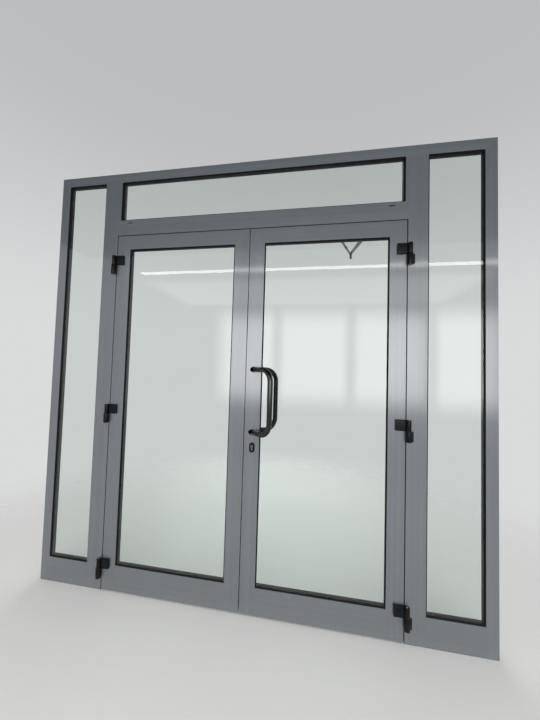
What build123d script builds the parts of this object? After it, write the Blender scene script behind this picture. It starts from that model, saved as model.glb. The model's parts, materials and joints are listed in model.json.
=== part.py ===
from build123d import *
import os
from math import acos, atan2, degrees

# Glass entrance screen: a double-leaf door between two side lights, under a top light.
# X runs to the right along the screen, Y into the building and Z up, in millimetres.
# The origin is on the floor, midway between the leaves, in the outer face of the frame.

# Frame
side_light_width = 276.0
top_light_height = 255.0
frame_depth = 45.0
jamb_face = 58.0
mullion_face = 101.5
transom_face = 99.5
sill_face = 148.5
bar_wall = 2.0

# Door opening in the frame
opening_half = 882.5
opening_height = 2229.5
stop_width = 22.5
stop_thickness = 4.0
stop_clearance = 2.5
stop_seal_thickness = 2.7

# Leaves
leaf_gap = 5.0
floor_gap = 8.0
leaf_face = 88.5
leaf_bottom_face = 149.0
groove_depth = 10.0
groove_width = 16.0
groove_wall = 2.0
face_seat = 0.3

# Glazing
lip_width = 22.0
lip_thickness = 2.5
glass_thickness = 8.0
glass_embed = 15.0
top_glass_embed = 9.0
outer_gasket_depth = 5.5
outer_gasket_sight = 7.0
outer_gasket_bevel = 3.5
inner_gasket_depth = 3.0
inner_gasket_sight = 3.0
gasket_cover = 8.0
bead_wall = 1.5
adapter_face = 14.5
adapter_wall = 2.5
block_length = 100.0
block_depth = 12.0
block_offset = 0.2  # share of the glass width from each end

# Drain slots in the transom
drain_x = 798.0
drain_length = 33.0
drain_height = 6.0

# Wall fixings
fixing_hole = 10.5
fixing_inset = 400.0

# Surface hinges
hinge_floor = 80.0
hinge_drop = 246.5
hinge_axis_out = 7.5
hinge_axis_proud = 14.0
knuckle_radius = 12.5
frame_knuckle_radius = 15.0
hinge_height = 115.0
frame_knuckle_height = 56.0
knuckle_gap = 1.0
pin_radius = 5.0
pin_clearance = 0.06
pin_inset = 4.0
leaf_wing_width = 52.0
leaf_wing_depth = 14.0
frame_wing_reach = 26.0
frame_wing_depth = 9.0
frame_wing_start = 6.0
wing_round = 3.0

# Offset pull handles
handle_inset = 47.5
handle_low = 1025.0
handle_high = 1387.0
handle_tube = 30.0
handle_offset = 111.0
handle_reach = 91.5
handle_bend = 70.0
handle_bolt_radius = 4.0
handle_bolt_hole = 5.0
handle_bolt_depth = 13.0
bolt_clearance = 0.1

# Lock
lock_inset = 47.5
lock_level = 946.0
case_height = 150.0
case_drop = 80.0
case_thickness = 15.0
case_wall = 1.5
faceplate_height = 245.0
faceplate_width = 24.0
faceplate_thickness = 3.0
deadbolt_rise = 36.0
deadbolt_height = 30.0
deadbolt_thickness = 10.0
deadbolt_length = 56.0
deadbolt_throw = 20.0
bolt_play = 0.3
cylinder_radius = 8.5
cylinder_leg_width = 10.0
cylinder_leg_drop = 24.5
cylinder_proud = 7.0
plug_radius = 6.4
plug_clearance = 0.08
cam_width = 9.0
cam_radius = 15.0
cam_nose_width = 8.0
cam_clearance = 1.0
keyway_width = 2.2
keyway_height = 8.0
keyway_depth = 12.0
rose_width = 31.0
rose_height = 56.0
rose_thickness = 6.0
rose_drop = 8.0
strike_thickness = 2.0
strike_height = 120.0

# Flush bolts of the left leaf
flush_rod_width = 15.0
flush_rod_depth = 7.0
flush_throw = 20.0
flush_reach = 492.0
flush_plate_height = 120.0
flush_tip_length = 32.0
flush_tip_rest = 2.5
flush_thumb_width = 8.0
flush_thumb_height = 20.0
transom_strike_length = 44.0
transom_strike_thickness = 1.5

# Door seals
meeting_seal_width = 4.0
meeting_seal_root = 3.0
meeting_seal_reach = 3.0
meeting_seal_offset = 38.0
brush_width = 6.0
brush_rise = 4.0
brush_floor_gap = 1.5

# Corner cleats of the leaves
cleat_arm = 110.0
cleat_play = 0.1
spigot_length = 60.0

# Overhead closer on the inner face of the right leaf's opening
spindle_from_hinge = 218.0
spindle_off_face = 27.0
closer_length = 240.0
closer_height = 60.0
closer_depth = 45.0
closer_spindle_end = 45.0
closer_plate = 3.0
closer_clear = 7.0
closer_round = 6.0
closer_cap = 12.0
arm_drop = 9.0
arm_thickness = 7.0
arm_length = 258.0
arm_width_root = 26.0
arm_width_tip = 16.0
arm_gap = 1.0
hub_radius = 15.0
hub_clearance = 0.3
forearm_length = 279.0
forearm_width = 12.0
forearm_thickness = 6.0
forearm_eye_radius = 11.0
elbow_radius = 7.0
elbow_drop = 8.0
shoe_pin_radius = 4.0
shoe_pin_clearance = 0.08
shoe_width = 60.0
shoe_plate = 4.0
shoe_lug_width = 24.0
shoe_lug_thickness = 6.0
shoe_off_face = 19.261
shoe_from_spindle = 151.863

# Planes that follow from the sizes above
glass_front = lip_thickness + outer_gasket_depth
glass_back = glass_front + glass_thickness
bead_front = glass_back + inner_gasket_depth
step_depth = frame_depth - stop_thickness - stop_seal_thickness - face_seat
leaf_edge = opening_half - leaf_gap
leaf_lock_edge = leaf_gap / 2
leaf_top = opening_height - leaf_gap
step_width = stop_width - leaf_gap + stop_clearance
side_inner = opening_half + mullion_face
side_outer = side_inner + side_light_width
half_width = side_outer + jamb_face
transom_top = opening_height + transom_face
head_sight = transom_top + top_light_height
frame_height = head_sight + jamb_face
hinge_x = opening_half + hinge_axis_out
hinge_top = leaf_top - hinge_drop
hinge_levels = (hinge_floor, (hinge_floor + hinge_top) / 2, hinge_top)
flush_upper_start = leaf_top - flush_reach
flush_lower_end = floor_gap + flush_reach
groove_middle = frame_depth / 2
flush_tip_radius = flush_rod_depth / 2
case_depth = lock_inset + cam_radius + case_wall
EPS = 20.0  # overrun of a cutting tool past a face
ON_FACE = 0.01  # how near an edge lies to a plane that it is on


def block(x, y, z):
    """Box between two coordinates on each axis."""
    size = [high - low for low, high in (x, y, z)]
    middle = [(high + low) / 2 for low, high in (x, y, z)]
    return Pos(*middle) * Box(*size)


def cylinder_x(radius, x, y, z):
    length = x[1] - x[0]
    return Pos((x[0] + x[1]) / 2, y, z) * Rot(0, 90, 0) * Cylinder(radius, length)


def cylinder_y(radius, x, y, z):
    length = y[1] - y[0]
    return Pos(x, (y[0] + y[1]) / 2, z) * Rot(90, 0, 0) * Cylinder(radius, length)


def cylinder_z(radius, x, y, z):
    length = z[1] - z[0]
    return Pos(x, y, (z[0] + z[1]) / 2) * Cylinder(radius, length)


def prism(points, direction, length):
    """Straight prism on a closed outline of points in space."""
    face = make_face(Polyline(*points, close=True))
    return extrude(face, amount=length, dir=direction)


def upright(outline, chambers, z):
    """Hollow bar along Z, from its outline and chambers given as (x, y) points."""
    length = z[1] - z[0]
    bar = prism([(x, y, z[0]) for x, y in outline], (0, 0, 1), length)
    for chamber in chambers:
        bar -= prism([(x, y, z[0]) for x, y in chamber], (0, 0, 1), length)
    return bar


def level(outline, chambers, x):
    """Hollow bar along X, from its outline and chambers given as (z, y) points."""
    length = x[1] - x[0]
    bar = prism([(x[0], y, z) for z, y in outline], (1, 0, 0), length)
    for chamber in chambers:
        bar -= prism([(x[0], y, z) for z, y in chamber], (1, 0, 0), length)
    return bar


def rectangle(s, y):
    return [(s[0], y[0]), (s[1], y[0]), (s[1], y[1]), (s[0], y[1])]


def placed(points, edge, way):
    """Section points (s, y) moved to start at an edge and run one way from it."""
    return [(edge + way * s, y) for s, y in points]


def mirrored(shape):
    return mirror(shape, about=Plane.YZ)


def glazed_section(face):
    """Bar with a glazing lip on one side: outline and chamber from its outer edge."""
    core = face - lip_width
    outline = [
        (0, 0),
        (face, 0),
        (face, lip_thickness),
        (core, lip_thickness),
        (core, frame_depth),
        (0, frame_depth),
    ]
    web = core / 2
    room = (bar_wall, frame_depth - bar_wall)
    chambers = [rectangle((bar_wall, core - bar_wall), room)]
    if core > frame_depth:
        chambers = [
            rectangle((bar_wall, web - bar_wall / 2), room),
            rectangle((web + bar_wall / 2, core - bar_wall), room),
        ]
    return outline, chambers


def stopped_section(face):
    """Bar of the door opening: a stop behind the leaf on one side, a lip on the other."""
    core = face - lip_width
    stop_front = frame_depth - stop_thickness
    outline = [
        (0, 0),
        (face, 0),
        (face, lip_thickness),
        (core, lip_thickness),
        (core, frame_depth),
        (-stop_width, frame_depth),
        (-stop_width, stop_front),
        (0, stop_front),
    ]
    web = core / 2
    room = (bar_wall, frame_depth - bar_wall)
    chambers = [
        rectangle((bar_wall, web - bar_wall / 2), room),
        rectangle((web + bar_wall / 2, core - bar_wall), room),
    ]
    return outline, chambers


def stepped_section(face):
    """Leaf bar that closes in front of the stop, from its outer edge."""
    core = face - lip_width
    outline = [
        (0, 0),
        (face, 0),
        (face, lip_thickness),
        (core, lip_thickness),
        (core, frame_depth),
        (step_width, frame_depth),
        (step_width, step_depth),
        (0, step_depth),
    ]
    chamber = [
        (bar_wall, bar_wall),
        (core - bar_wall, bar_wall),
        (core - bar_wall, frame_depth - bar_wall),
        (step_width + bar_wall, frame_depth - bar_wall),
        (step_width + bar_wall, step_depth - bar_wall),
        (bar_wall, step_depth - bar_wall),
    ]
    return outline, [chamber]


def grooved_section(face):
    """Lock stile with the hardware groove in its meeting edge."""
    core = face - lip_width
    low = groove_middle - groove_width / 2
    high = groove_middle + groove_width / 2
    back = groove_depth + groove_wall
    outline = [
        (0, 0),
        (face, 0),
        (face, lip_thickness),
        (core, lip_thickness),
        (core, frame_depth),
        (0, frame_depth),
        (0, high),
        (groove_depth, high),
        (groove_depth, low),
        (0, low),
    ]
    room = (bar_wall, frame_depth - bar_wall)
    chambers = [
        rectangle((back, core - bar_wall), room),
        rectangle((bar_wall, groove_depth), (bar_wall, low - bar_wall)),
        rectangle((bar_wall, groove_depth), (high + bar_wall, frame_depth - bar_wall)),
    ]
    return outline, chambers


def edge_bar(section, face, edge, way, span, along):
    """Bar of a section, placed from an edge of the frame or leaf."""
    outline, chambers = section(face)
    outline = placed(outline, edge, way)
    chambers = [placed(chamber, edge, way) for chamber in chambers]
    return along(outline, chambers, span)


def lip_cut(x, z):
    """Cutting block for the layer in front, where another bar's lip lies."""
    return block(x, (-EPS, lip_thickness), z)


def head_bar():
    bar = edge_bar(glazed_section, jamb_face, frame_height, -1, (-half_width, half_width), level)
    for side in (-1, 1):
        corner = side * half_width
        inner = side * (half_width - jamb_face)
        wedge = prism(
            [
                (corner + side * EPS, -EPS, frame_height + EPS),
                (inner, -EPS, head_sight),
                (inner, -EPS, head_sight - EPS),
                (corner + side * EPS, -EPS, head_sight - EPS),
            ],
            (0, 1, 0),
            frame_depth + 2 * EPS,
        )
        bar -= wedge
    return bar


def right_jamb():
    bar = edge_bar(glazed_section, jamb_face, half_width, -1, (0, frame_height), upright)
    wedge = prism(
        [
            (half_width + EPS, -EPS, frame_height + EPS),
            (side_outer, -EPS, head_sight),
            (side_outer - EPS, -EPS, head_sight),
            (side_outer - EPS, -EPS, frame_height + EPS),
        ],
        (0, 1, 0),
        frame_depth + 2 * EPS,
    )
    bar -= wedge
    core = half_width - jamb_face + lip_width
    for z in (fixing_inset, frame_height - fixing_inset):
        bar -= cylinder_x(fixing_hole / 2, (core - EPS, half_width + EPS), groove_middle, z)
    return bar


def right_mullion():
    top = head_sight + lip_width
    bar = edge_bar(stopped_section, mullion_face, opening_half, 1, (0, top), upright)
    reach = (opening_half - stop_width - EPS, side_inner + EPS)
    return bar - lip_cut(reach, (head_sight, frame_height))


def transom_bar():
    span = (-opening_half, opening_half)
    bar = edge_bar(stopped_section, transom_face, opening_height, 1, span, level)
    stop_end = opening_half - stop_width
    for side in (-1, 1):
        ends = sorted((side * stop_end, side * (opening_half + EPS)))
        stop = (frame_depth - stop_thickness, frame_depth + EPS)
        bar -= block(ends, stop, (0, frame_height))
        slot_x = side * drain_x
        slot = (slot_x - drain_length / 2, slot_x + drain_length / 2)
        floor = transom_top - lip_width
        bar -= block(slot, (-EPS, lip_thickness + EPS), (floor, floor + drain_height))
        adapter = sorted((side * (opening_half - adapter_face), side * opening_half))
        bar -= lip_cut(adapter, (transom_top, frame_height))
    bolt_x, bolt_y = flush_axis()
    hole = (opening_height - EPS, opening_height + EPS)
    bar -= cylinder_z(flush_tip_radius + bolt_play, bolt_x, bolt_y, hole)
    return bar


def right_sill_rail():
    span = (side_inner - lip_width, side_outer + lip_width)
    bar = edge_bar(glazed_section, sill_face, 0, 1, span, level)
    bar -= lip_cut((span[0] - EPS, side_inner), (-EPS, sill_face + EPS))
    return bar - lip_cut((side_outer, span[1] + EPS), (-EPS, sill_face + EPS))


def top_light_adapters():
    """Clip-on strips that fill the door rebate of the mullions beside the top light."""
    z = (transom_top - lip_width, head_sight + lip_width)
    inner = opening_half - adapter_face
    web = opening_half - adapter_wall
    back = frame_depth - stop_thickness
    outline = [
        (inner, 0),
        (opening_half, 0),
        (opening_half, back),
        (web, back),
        (web, lip_thickness),
        (inner, lip_thickness),
    ]
    strip = upright(outline, [], z)
    reach = (inner - EPS, opening_half + EPS)
    strip -= lip_cut(reach, (-EPS, transom_top))
    strip -= lip_cut(reach, (head_sight, frame_height))
    return Compound([mirrored(strip), strip])


def side_light():
    """Sight opening and rebate of the right side light."""
    sight = ((side_inner, side_outer), (sill_face, head_sight))
    rebate = (
        (side_inner - lip_width, side_outer + lip_width),
        (sill_face - lip_width, head_sight + lip_width),
    )
    return sight, rebate


def top_light():
    """Sight opening and rebate of the top light."""
    inner = opening_half - adapter_face
    web = opening_half - adapter_wall
    sight = ((-inner, inner), (transom_top, head_sight))
    rebate = ((-web, web), (transom_top - lip_width, head_sight + lip_width))
    return sight, rebate


def leaf_light():
    """Sight opening and rebate of the right leaf."""
    x = (leaf_lock_edge + leaf_face, leaf_edge - leaf_face)
    z = (floor_gap + leaf_bottom_face, leaf_top - leaf_face)
    sight = (x, z)
    rebate = ((x[0] - lip_width, x[1] + lip_width), (z[0] - lip_width, z[1] + lip_width))
    return sight, rebate


def grown(sight, by_x, by_z):
    x, z = sight
    return (x[0] - by_x, x[1] + by_x), (z[0] - by_z, z[1] + by_z)


def pane(sight, embed_x):
    x, z = grown(sight, embed_x, glass_embed)
    return block(x, (glass_front, glass_back), z)


def ring(sight, cover_x, cover_z, inside, y):
    """Flat rectangular ring round a sight opening."""
    outer = grown(sight, cover_x, cover_z)
    inner = grown(sight, -inside, -inside)
    solid = block(outer[0], y, outer[1])
    return solid - block(inner[0], (y[0] - EPS, y[1] + EPS), inner[1])


def gaskets(sight, embed_x):
    """Outer gasket with its sloping lip, and the thinner inner one."""
    cover = min(gasket_cover, embed_x)
    outer_y = (lip_thickness, glass_front)
    outer = ring(sight, cover, gasket_cover, outer_gasket_sight, outer_y)
    x, z = grown(sight, -outer_gasket_sight, -outer_gasket_sight)
    lip_edges = [
        edge
        for edge in outer.edges()
        if abs(edge.center().Y - lip_thickness) < ON_FACE
        and x[0] - ON_FACE <= edge.center().X <= x[1] + ON_FACE
        and z[0] - ON_FACE <= edge.center().Z <= z[1] + ON_FACE
    ]
    outer = chamfer(lip_edges, outer_gasket_bevel)
    inner = ring(sight, cover, gasket_cover, inner_gasket_sight, (glass_back, bead_front))
    return [outer, inner]


def bead_outline(width, back):
    """Snap-in bead: the wall by the glass opening, the room face and the gasket foot."""
    foot = min(gasket_cover, width)
    return [
        (0, bead_front),
        (0, back),
        (width, back),
        (width, back - bead_wall),
        (bead_wall, back - bead_wall),
        (bead_wall, bead_front + bead_wall),
        (foot, bead_front + bead_wall),
        (foot, bead_front),
    ]


def beads(sight, rebate, side_back):
    """Four glazing beads on the room side: level ones between the upright ones."""
    strips = []
    for edge, limit in zip(sight[0], rebate[0]):
        width = abs(limit - edge)
        way = 1 if limit > edge else -1
        outline = placed(bead_outline(width, side_back), edge, way)
        strips.append(upright(outline, [], rebate[1]))
    for edge, limit in zip(sight[1], rebate[1]):
        width = abs(limit - edge)
        way = 1 if limit > edge else -1
        outline = placed(bead_outline(width, frame_depth), edge, way)
        strip = level(outline, [], sight[0])
        strips.append(strip - behind_stops(side_back))
    return strips


def behind_stops(side_back):
    """Where the stops of the mullions pass behind the ends of the top light's beads."""
    inner = opening_half - stop_width
    y = (side_back, frame_depth + EPS)
    right = block((inner, opening_half), y, (transom_top - lip_width, frame_height))
    return [mirrored(right), right]


def setting_blocks(sight, rebate):
    """Two packers that carry a pane on the floor of its rebate."""
    x, z = sight
    glass = grown(sight, glass_embed, glass_embed)
    low = rebate[1][0]
    high = glass[1][0]
    packers = []
    width = x[1] - x[0]
    for middle in (x[0] + block_offset * width, x[1] - block_offset * width):
        span = (middle - block_length / 2, middle + block_length / 2)
        front = glass_front - (block_depth - glass_thickness) / 2
        packers.append(block(span, (front, front + block_depth), (low, high)))
    return packers


def leaf_mitre(corner, inner, keep_upright):
    """Wedge that cuts a leaf's top corner along its mitre."""
    cx, cz = corner
    ix, iz = inner
    way = 1 if cx > ix else -1
    if keep_upright:
        third = [(ix - way * EPS, -EPS, iz), (ix - way * EPS, -EPS, cz + EPS)]
    else:
        third = [(ix, -EPS, iz - EPS), (cx + way * EPS, -EPS, iz - EPS)]
    points = [(cx + way * EPS, -EPS, cz + EPS), (ix, -EPS, iz), *third]
    return prism(points, (0, 1, 0), frame_depth + 2 * EPS)


def leaf_corners():
    sight, _ = leaf_light()
    top = sight[1][1]
    hinge_corner = ((leaf_edge, leaf_top), (sight[0][1], top))
    lock_corner = ((leaf_lock_edge, leaf_top), (sight[0][0], top))
    return hinge_corner, lock_corner


def hinge_stile():
    bar = edge_bar(stepped_section, leaf_face, leaf_edge, -1, (floor_gap, leaf_top), upright)
    hinge_corner, _ = leaf_corners()
    return bar - leaf_mitre(*hinge_corner, True)


def plain_lock_stile():
    """Lock stile of the right leaf without its cut-outs."""
    bar = edge_bar(grooved_section, leaf_face, leaf_lock_edge, 1, (floor_gap, leaf_top), upright)
    _, lock_corner = leaf_corners()
    bar -= leaf_mitre(*lock_corner, True)
    behind_stop = (step_depth, frame_depth + EPS)
    return bar - block((-EPS, opening_half), behind_stop, (leaf_top - step_width, frame_height))


def groove_block(depth, z):
    """Block that fills the hardware groove in the right leaf's meeting edge."""
    low = groove_middle - groove_width / 2
    return block((leaf_lock_edge - EPS, leaf_lock_edge + depth), (low, low + groove_width), z)


def top_rail():
    bar = edge_bar(
        stepped_section, leaf_face, leaf_top, -1, (leaf_lock_edge, leaf_edge), level
    )
    for corner in leaf_corners():
        bar -= leaf_mitre(*corner, False)
    return bar - groove_block(groove_depth, (0, frame_height))


def bottom_rail():
    sight, rebate = leaf_light()
    bar = edge_bar(glazed_section, leaf_bottom_face, floor_gap, 1, rebate[0], level)
    z = (0, floor_gap + leaf_bottom_face + EPS)
    bar -= lip_cut((rebate[0][0] - EPS, sight[0][0]), z)
    bar -= lip_cut((sight[0][1], rebate[0][1] + EPS), z)
    return bar - brush_room()


def brush_room():
    _, rebate = leaf_light()
    half = brush_width / 2
    return block(rebate[0], (groove_middle - half, groove_middle + half), (0, floor_gap + bar_wall))


def brush():
    """Brush strip under the bottom rail, up to the rail's inner web."""
    _, rebate = leaf_light()
    half = brush_width / 2 - cleat_play
    top = floor_gap + brush_rise
    holder = half + bar_wall
    strip = block(
        rebate[0], (groove_middle - half, groove_middle + half), (brush_floor_gap, top)
    )
    carrier = block(
        rebate[0],
        (groove_middle - holder, groove_middle + holder),
        (floor_gap + bar_wall, top),
    )
    return strip + carrier


def leaf_cleats():
    """Corner cleats in the top corners and spigots in the ends of the bottom rail."""
    _, rebate = leaf_light()
    y = (bar_wall + cleat_play, frame_depth - bar_wall - cleat_play)
    reach = step_width + bar_wall + cleat_play
    core = leaf_face - lip_width - bar_wall - cleat_play
    z_arm = (leaf_top - cleat_arm, leaf_top - reach)
    z_bar = (leaf_top - core, leaf_top - reach)
    hinge_arm = (leaf_edge - core, leaf_edge - reach)
    lock_arm = (leaf_lock_edge + reach, leaf_lock_edge + core)
    hinge_bar = (leaf_edge - cleat_arm, leaf_edge - reach)
    lock_bar = (leaf_lock_edge + reach, leaf_lock_edge + cleat_arm)
    corner_hinge = block(hinge_arm, y, z_arm) + block(hinge_bar, y, z_bar)
    corner_lock = block(lock_arm, y, z_arm) + block(lock_bar, y, z_bar)
    low = floor_gap + (leaf_bottom_face - lip_width + bar_wall) / 2 + cleat_play
    high = floor_gap + leaf_bottom_face - lip_width - bar_wall - cleat_play
    x_lock = (rebate[0][0], rebate[0][0] + spigot_length)
    x_hinge = (rebate[0][1] - spigot_length, rebate[0][1])
    y = (lip_thickness + cleat_play, y[1])
    spigots = [block(x, y, (low, high)) for x in (x_lock, x_hinge)]
    return Compound([corner_hinge, corner_lock, *spigots])


def pull_handle():
    """Outer pull handle: a bent round bar whose feet are cut flush with the leaf's face."""
    foot_x = leaf_lock_edge + handle_inset
    overrun = handle_tube / handle_offset
    start = (foot_x - overrun * handle_offset, overrun * handle_reach)
    end = (foot_x + handle_offset, -handle_reach)
    path = FilletPolyline(
        (*start, handle_high),
        (*end, handle_high),
        (*end, handle_low),
        (*start, handle_low),
        radius=handle_bend,
    )
    section = Plane(origin=path @ 0, z_dir=path % 0) * Circle(handle_tube / 2)
    bar = sweep(section, path=path)
    wide = (foot_x - 2 * handle_tube, foot_x + 2 * handle_tube)
    bar -= block(wide, (0, 2 * handle_tube), (handle_low - EPS, handle_high + EPS))
    hole = handle_bolt_radius + bolt_clearance
    for z in (handle_low, handle_high):
        bar -= cylinder_y(hole, foot_x, (-handle_bolt_depth, EPS), z)
    return bar


def inner_side(shape):
    """The same fitting on the room side of the leaf."""
    middle = Plane.XZ.offset(-frame_depth / 2)
    return mirror(shape, about=middle)


def handle_bolts():
    foot_x = leaf_lock_edge + handle_inset
    depth = handle_bolt_depth - bolt_play
    y = (-depth, frame_depth + depth)
    rods = [cylinder_y(handle_bolt_radius, foot_x, y, z) for z in (handle_low, handle_high)]
    return Compound(rods)


def cylinder_outline(clearance, y):
    """Profile of the lock cylinder, grown by a clearance, over a depth."""
    x = leaf_lock_edge + lock_inset
    round_part = cylinder_y(cylinder_radius + clearance, x, y, lock_level)
    half = cylinder_leg_width / 2 + clearance
    drop = lock_level - cylinder_leg_drop - clearance
    return round_part + block((x - half, x + half), y, (drop, lock_level))


def cylinder_housing():
    x = leaf_lock_edge + lock_inset
    y = (-cylinder_proud, frame_depth + cylinder_proud)
    body = cylinder_outline(0, y)
    body -= cylinder_y(plug_radius + plug_clearance, x, (y[0] - EPS, y[1] + EPS), lock_level)
    half = cam_width / 2 + bolt_play
    gap = (groove_middle - half, groove_middle + half)
    room = cam_radius + bolt_play
    return body - block((x - EPS, x + EPS), gap, (lock_level - room, lock_level + EPS))


def cylinder_plug():
    """Plug with its keyways and the cam that drives the bolt."""
    x = leaf_lock_edge + lock_inset
    y = (-cylinder_proud, frame_depth + cylinder_proud)
    plug = cylinder_y(plug_radius, x, y, lock_level)
    half = cam_width / 2
    cam_y = (groove_middle - half, groove_middle + half)
    plug += cylinder_y(cylinder_radius, x, cam_y, lock_level)
    nose = cam_nose_width / 2
    cam_end = (lock_level - cam_radius + cam_clearance, lock_level)
    plug += block((x - nose, x + nose), cam_y, cam_end)
    slot_x = (x - keyway_width / 2, x + keyway_width / 2)
    slot_z = (lock_level - keyway_height / 2, lock_level + keyway_height / 2)
    plug -= block(slot_x, (y[0] - EPS, y[0] + keyway_depth), slot_z)
    return plug - block(slot_x, (y[1] - keyway_depth, y[1] + EPS), slot_z)


def lock_case():
    """Hollow case behind the faceplate, open where the bolt and the cylinder pass."""
    front = leaf_lock_edge + faceplate_thickness
    x = (front, leaf_lock_edge + case_depth)
    y = (groove_middle - case_thickness / 2, groove_middle + case_thickness / 2)
    z = (lock_level - case_drop, lock_level - case_drop + case_height)
    case = block(x, y, z)
    inside = [(low + case_wall, high - case_wall) for low, high in (x, y, z)]
    case -= block(*inside)
    case -= deadbolt_room((front - EPS, front + EPS), bolt_play)
    return case - cylinder_outline(bolt_play, (y[0] - EPS, y[1] + EPS))


def deadbolt_room(x, clearance):
    half = deadbolt_thickness / 2 + clearance
    z = deadbolt_levels()
    return block(
        x,
        (groove_middle - half, groove_middle + half),
        (z[0] - clearance, z[1] + clearance),
    )


def deadbolt_levels():
    middle = lock_level + deadbolt_rise
    return middle - deadbolt_height / 2, middle + deadbolt_height / 2


def deadbolt():
    x = (leaf_lock_edge, leaf_lock_edge + deadbolt_length)
    bolt = deadbolt_room(x, 0)
    tip = bolt.faces().sort_by(Axis.X)[0]
    return chamfer(tip.edges(), case_wall)


def lock_faceplate():
    x = (leaf_lock_edge, leaf_lock_edge + faceplate_thickness)
    half = faceplate_width / 2
    z = faceplate_levels()
    plate = block(x, (groove_middle - half, groove_middle + half), z)
    return plate - deadbolt_room((x[0] - EPS, x[1] + EPS), bolt_play)


def faceplate_levels():
    middle = lock_level - case_drop + case_height / 2
    return middle - faceplate_height / 2, middle + faceplate_height / 2


def rose(y):
    """Oval rose round the cylinder."""
    x = leaf_lock_edge + lock_inset
    z = lock_level - rose_drop
    outline = Plane.XZ * SlotOverall(rose_height, rose_width, rotation=90)
    plate = extrude(outline, amount=-(y[1] - y[0]))
    plate = Pos(x, y[0], z) * plate
    return plate - cylinder_outline(bolt_play, (y[0] - EPS, y[1] + EPS))


def lock_roses():
    outer = rose((-rose_thickness, 0))
    inner = rose((frame_depth, frame_depth + rose_thickness))
    return Compound([outer, inner])


def right_lock_stile():
    """Lock stile with the cut-outs for the lock, the cylinder and the handle bolts."""
    bar = plain_lock_stile()
    half = faceplate_width / 2
    plate_y = (groove_middle - half - cleat_play, groove_middle + half + cleat_play)
    plate_x = (leaf_lock_edge - EPS, leaf_lock_edge + faceplate_thickness)
    bar -= block(plate_x, plate_y, faceplate_levels())
    z = (lock_level - case_drop, lock_level - case_drop + case_height)
    bar -= groove_block(case_depth, z)
    bar -= cylinder_outline(bolt_play, (-EPS, frame_depth + EPS))
    foot_x = leaf_lock_edge + handle_inset
    for z in (handle_low, handle_high):
        bar -= cylinder_y(handle_bolt_hole, foot_x, (-EPS, frame_depth + EPS), z)
    return bar


def flush_axis():
    """Middle of the flush bolt rods in the left leaf's groove."""
    depth = strike_thickness + bolt_play + flush_rod_depth / 2
    return -(leaf_lock_edge + depth), groove_middle


def flush_plate_levels():
    upper = (flush_upper_start, flush_upper_start + flush_plate_height)
    lower = (flush_lower_end - flush_plate_height, flush_lower_end)
    return upper, lower


def flush_bolt(upper):
    """Rod with its round tip and thumb slide, drawn back inside the leaf."""
    x, y = flush_axis()
    half_x = flush_rod_depth / 2
    half_y = flush_rod_width / 2
    plates = flush_plate_levels()
    if upper:
        tip = leaf_top - flush_tip_rest
        rod_z = (flush_upper_start, tip - flush_tip_length)
        tip_z = (tip - flush_tip_length, tip)
        thumb = plates[0][0] + (flush_plate_height - flush_thumb_height) / 2
    else:
        tip = floor_gap + flush_tip_rest
        rod_z = (tip + flush_tip_length, flush_lower_end)
        tip_z = (tip, tip + flush_tip_length)
        thumb = plates[1][0] + (flush_plate_height - flush_thumb_height) / 2
    rod = block((x - half_x, x + half_x), (y - half_y, y + half_y), rod_z)
    rod += cylinder_z(flush_tip_radius, x, y, tip_z)
    thumb_y = (y - flush_thumb_width / 2, y + flush_thumb_width / 2)
    thumb_x = (x, -leaf_lock_edge - bolt_play)
    return rod + block(thumb_x, thumb_y, (thumb, thumb + flush_thumb_height))


def flush_plates():
    """Plates over the groove, each slotted for its thumb slide."""
    half = faceplate_width / 2
    x = (-leaf_lock_edge - strike_thickness, -leaf_lock_edge)
    plates = []
    for z, way in zip(flush_plate_levels(), (1, -1)):
        plate = block(x, (groove_middle - half, groove_middle + half), z)
        middle = (z[0] + z[1]) / 2
        rest = flush_thumb_height / 2 + bolt_play
        slot_z = sorted((middle - way * rest, middle + way * (rest + flush_throw)))
        slot = flush_thumb_width / 2 + bolt_play
        slot_y = (groove_middle - slot, groove_middle + slot)
        plate -= block((x[0] - EPS, x[1] + EPS), slot_y, slot_z)
        plates.append(plate)
    return Compound(plates)


def strike_levels():
    low, high = deadbolt_levels()
    middle = (low + high) / 2
    return middle - strike_height / 2, middle + strike_height / 2


def strike_plate():
    half = faceplate_width / 2
    x = (-leaf_lock_edge - strike_thickness, -leaf_lock_edge)
    plate = block(x, (groove_middle - half, groove_middle + half), strike_levels())
    return plate - deadbolt_room((x[0] - EPS, x[1] + EPS), cam_clearance)


def left_lock_stile():
    """Lock stile of the left leaf, cut for its plates, the bolt pocket and the seal."""
    bar = mirrored(plain_lock_stile())
    half = faceplate_width / 2
    plate_y = (groove_middle - half - cleat_play, groove_middle + half + cleat_play)
    plate_x = (-leaf_lock_edge - strike_thickness, -leaf_lock_edge + EPS)
    for z in (*flush_plate_levels(), strike_levels()):
        bar -= block(plate_x, plate_y, z)
    pocket = (-leaf_lock_edge - deadbolt_throw - cam_clearance, 0)
    bar -= deadbolt_room(pocket, cam_clearance)
    return bar - meeting_seal_room()


def meeting_seal_room():
    half = meeting_seal_width / 2
    y = (meeting_seal_offset - half, meeting_seal_offset + half)
    x = (-leaf_lock_edge - meeting_seal_root, leaf_lock_edge)
    return block(x, y, (0, leaf_top - step_width))


def meeting_seal():
    half = meeting_seal_width / 2
    y = (meeting_seal_offset - half, meeting_seal_offset + half)
    x = (-leaf_lock_edge - meeting_seal_root, -leaf_lock_edge + meeting_seal_reach)
    return block(x, y, (floor_gap, leaf_top - step_width))


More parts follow.
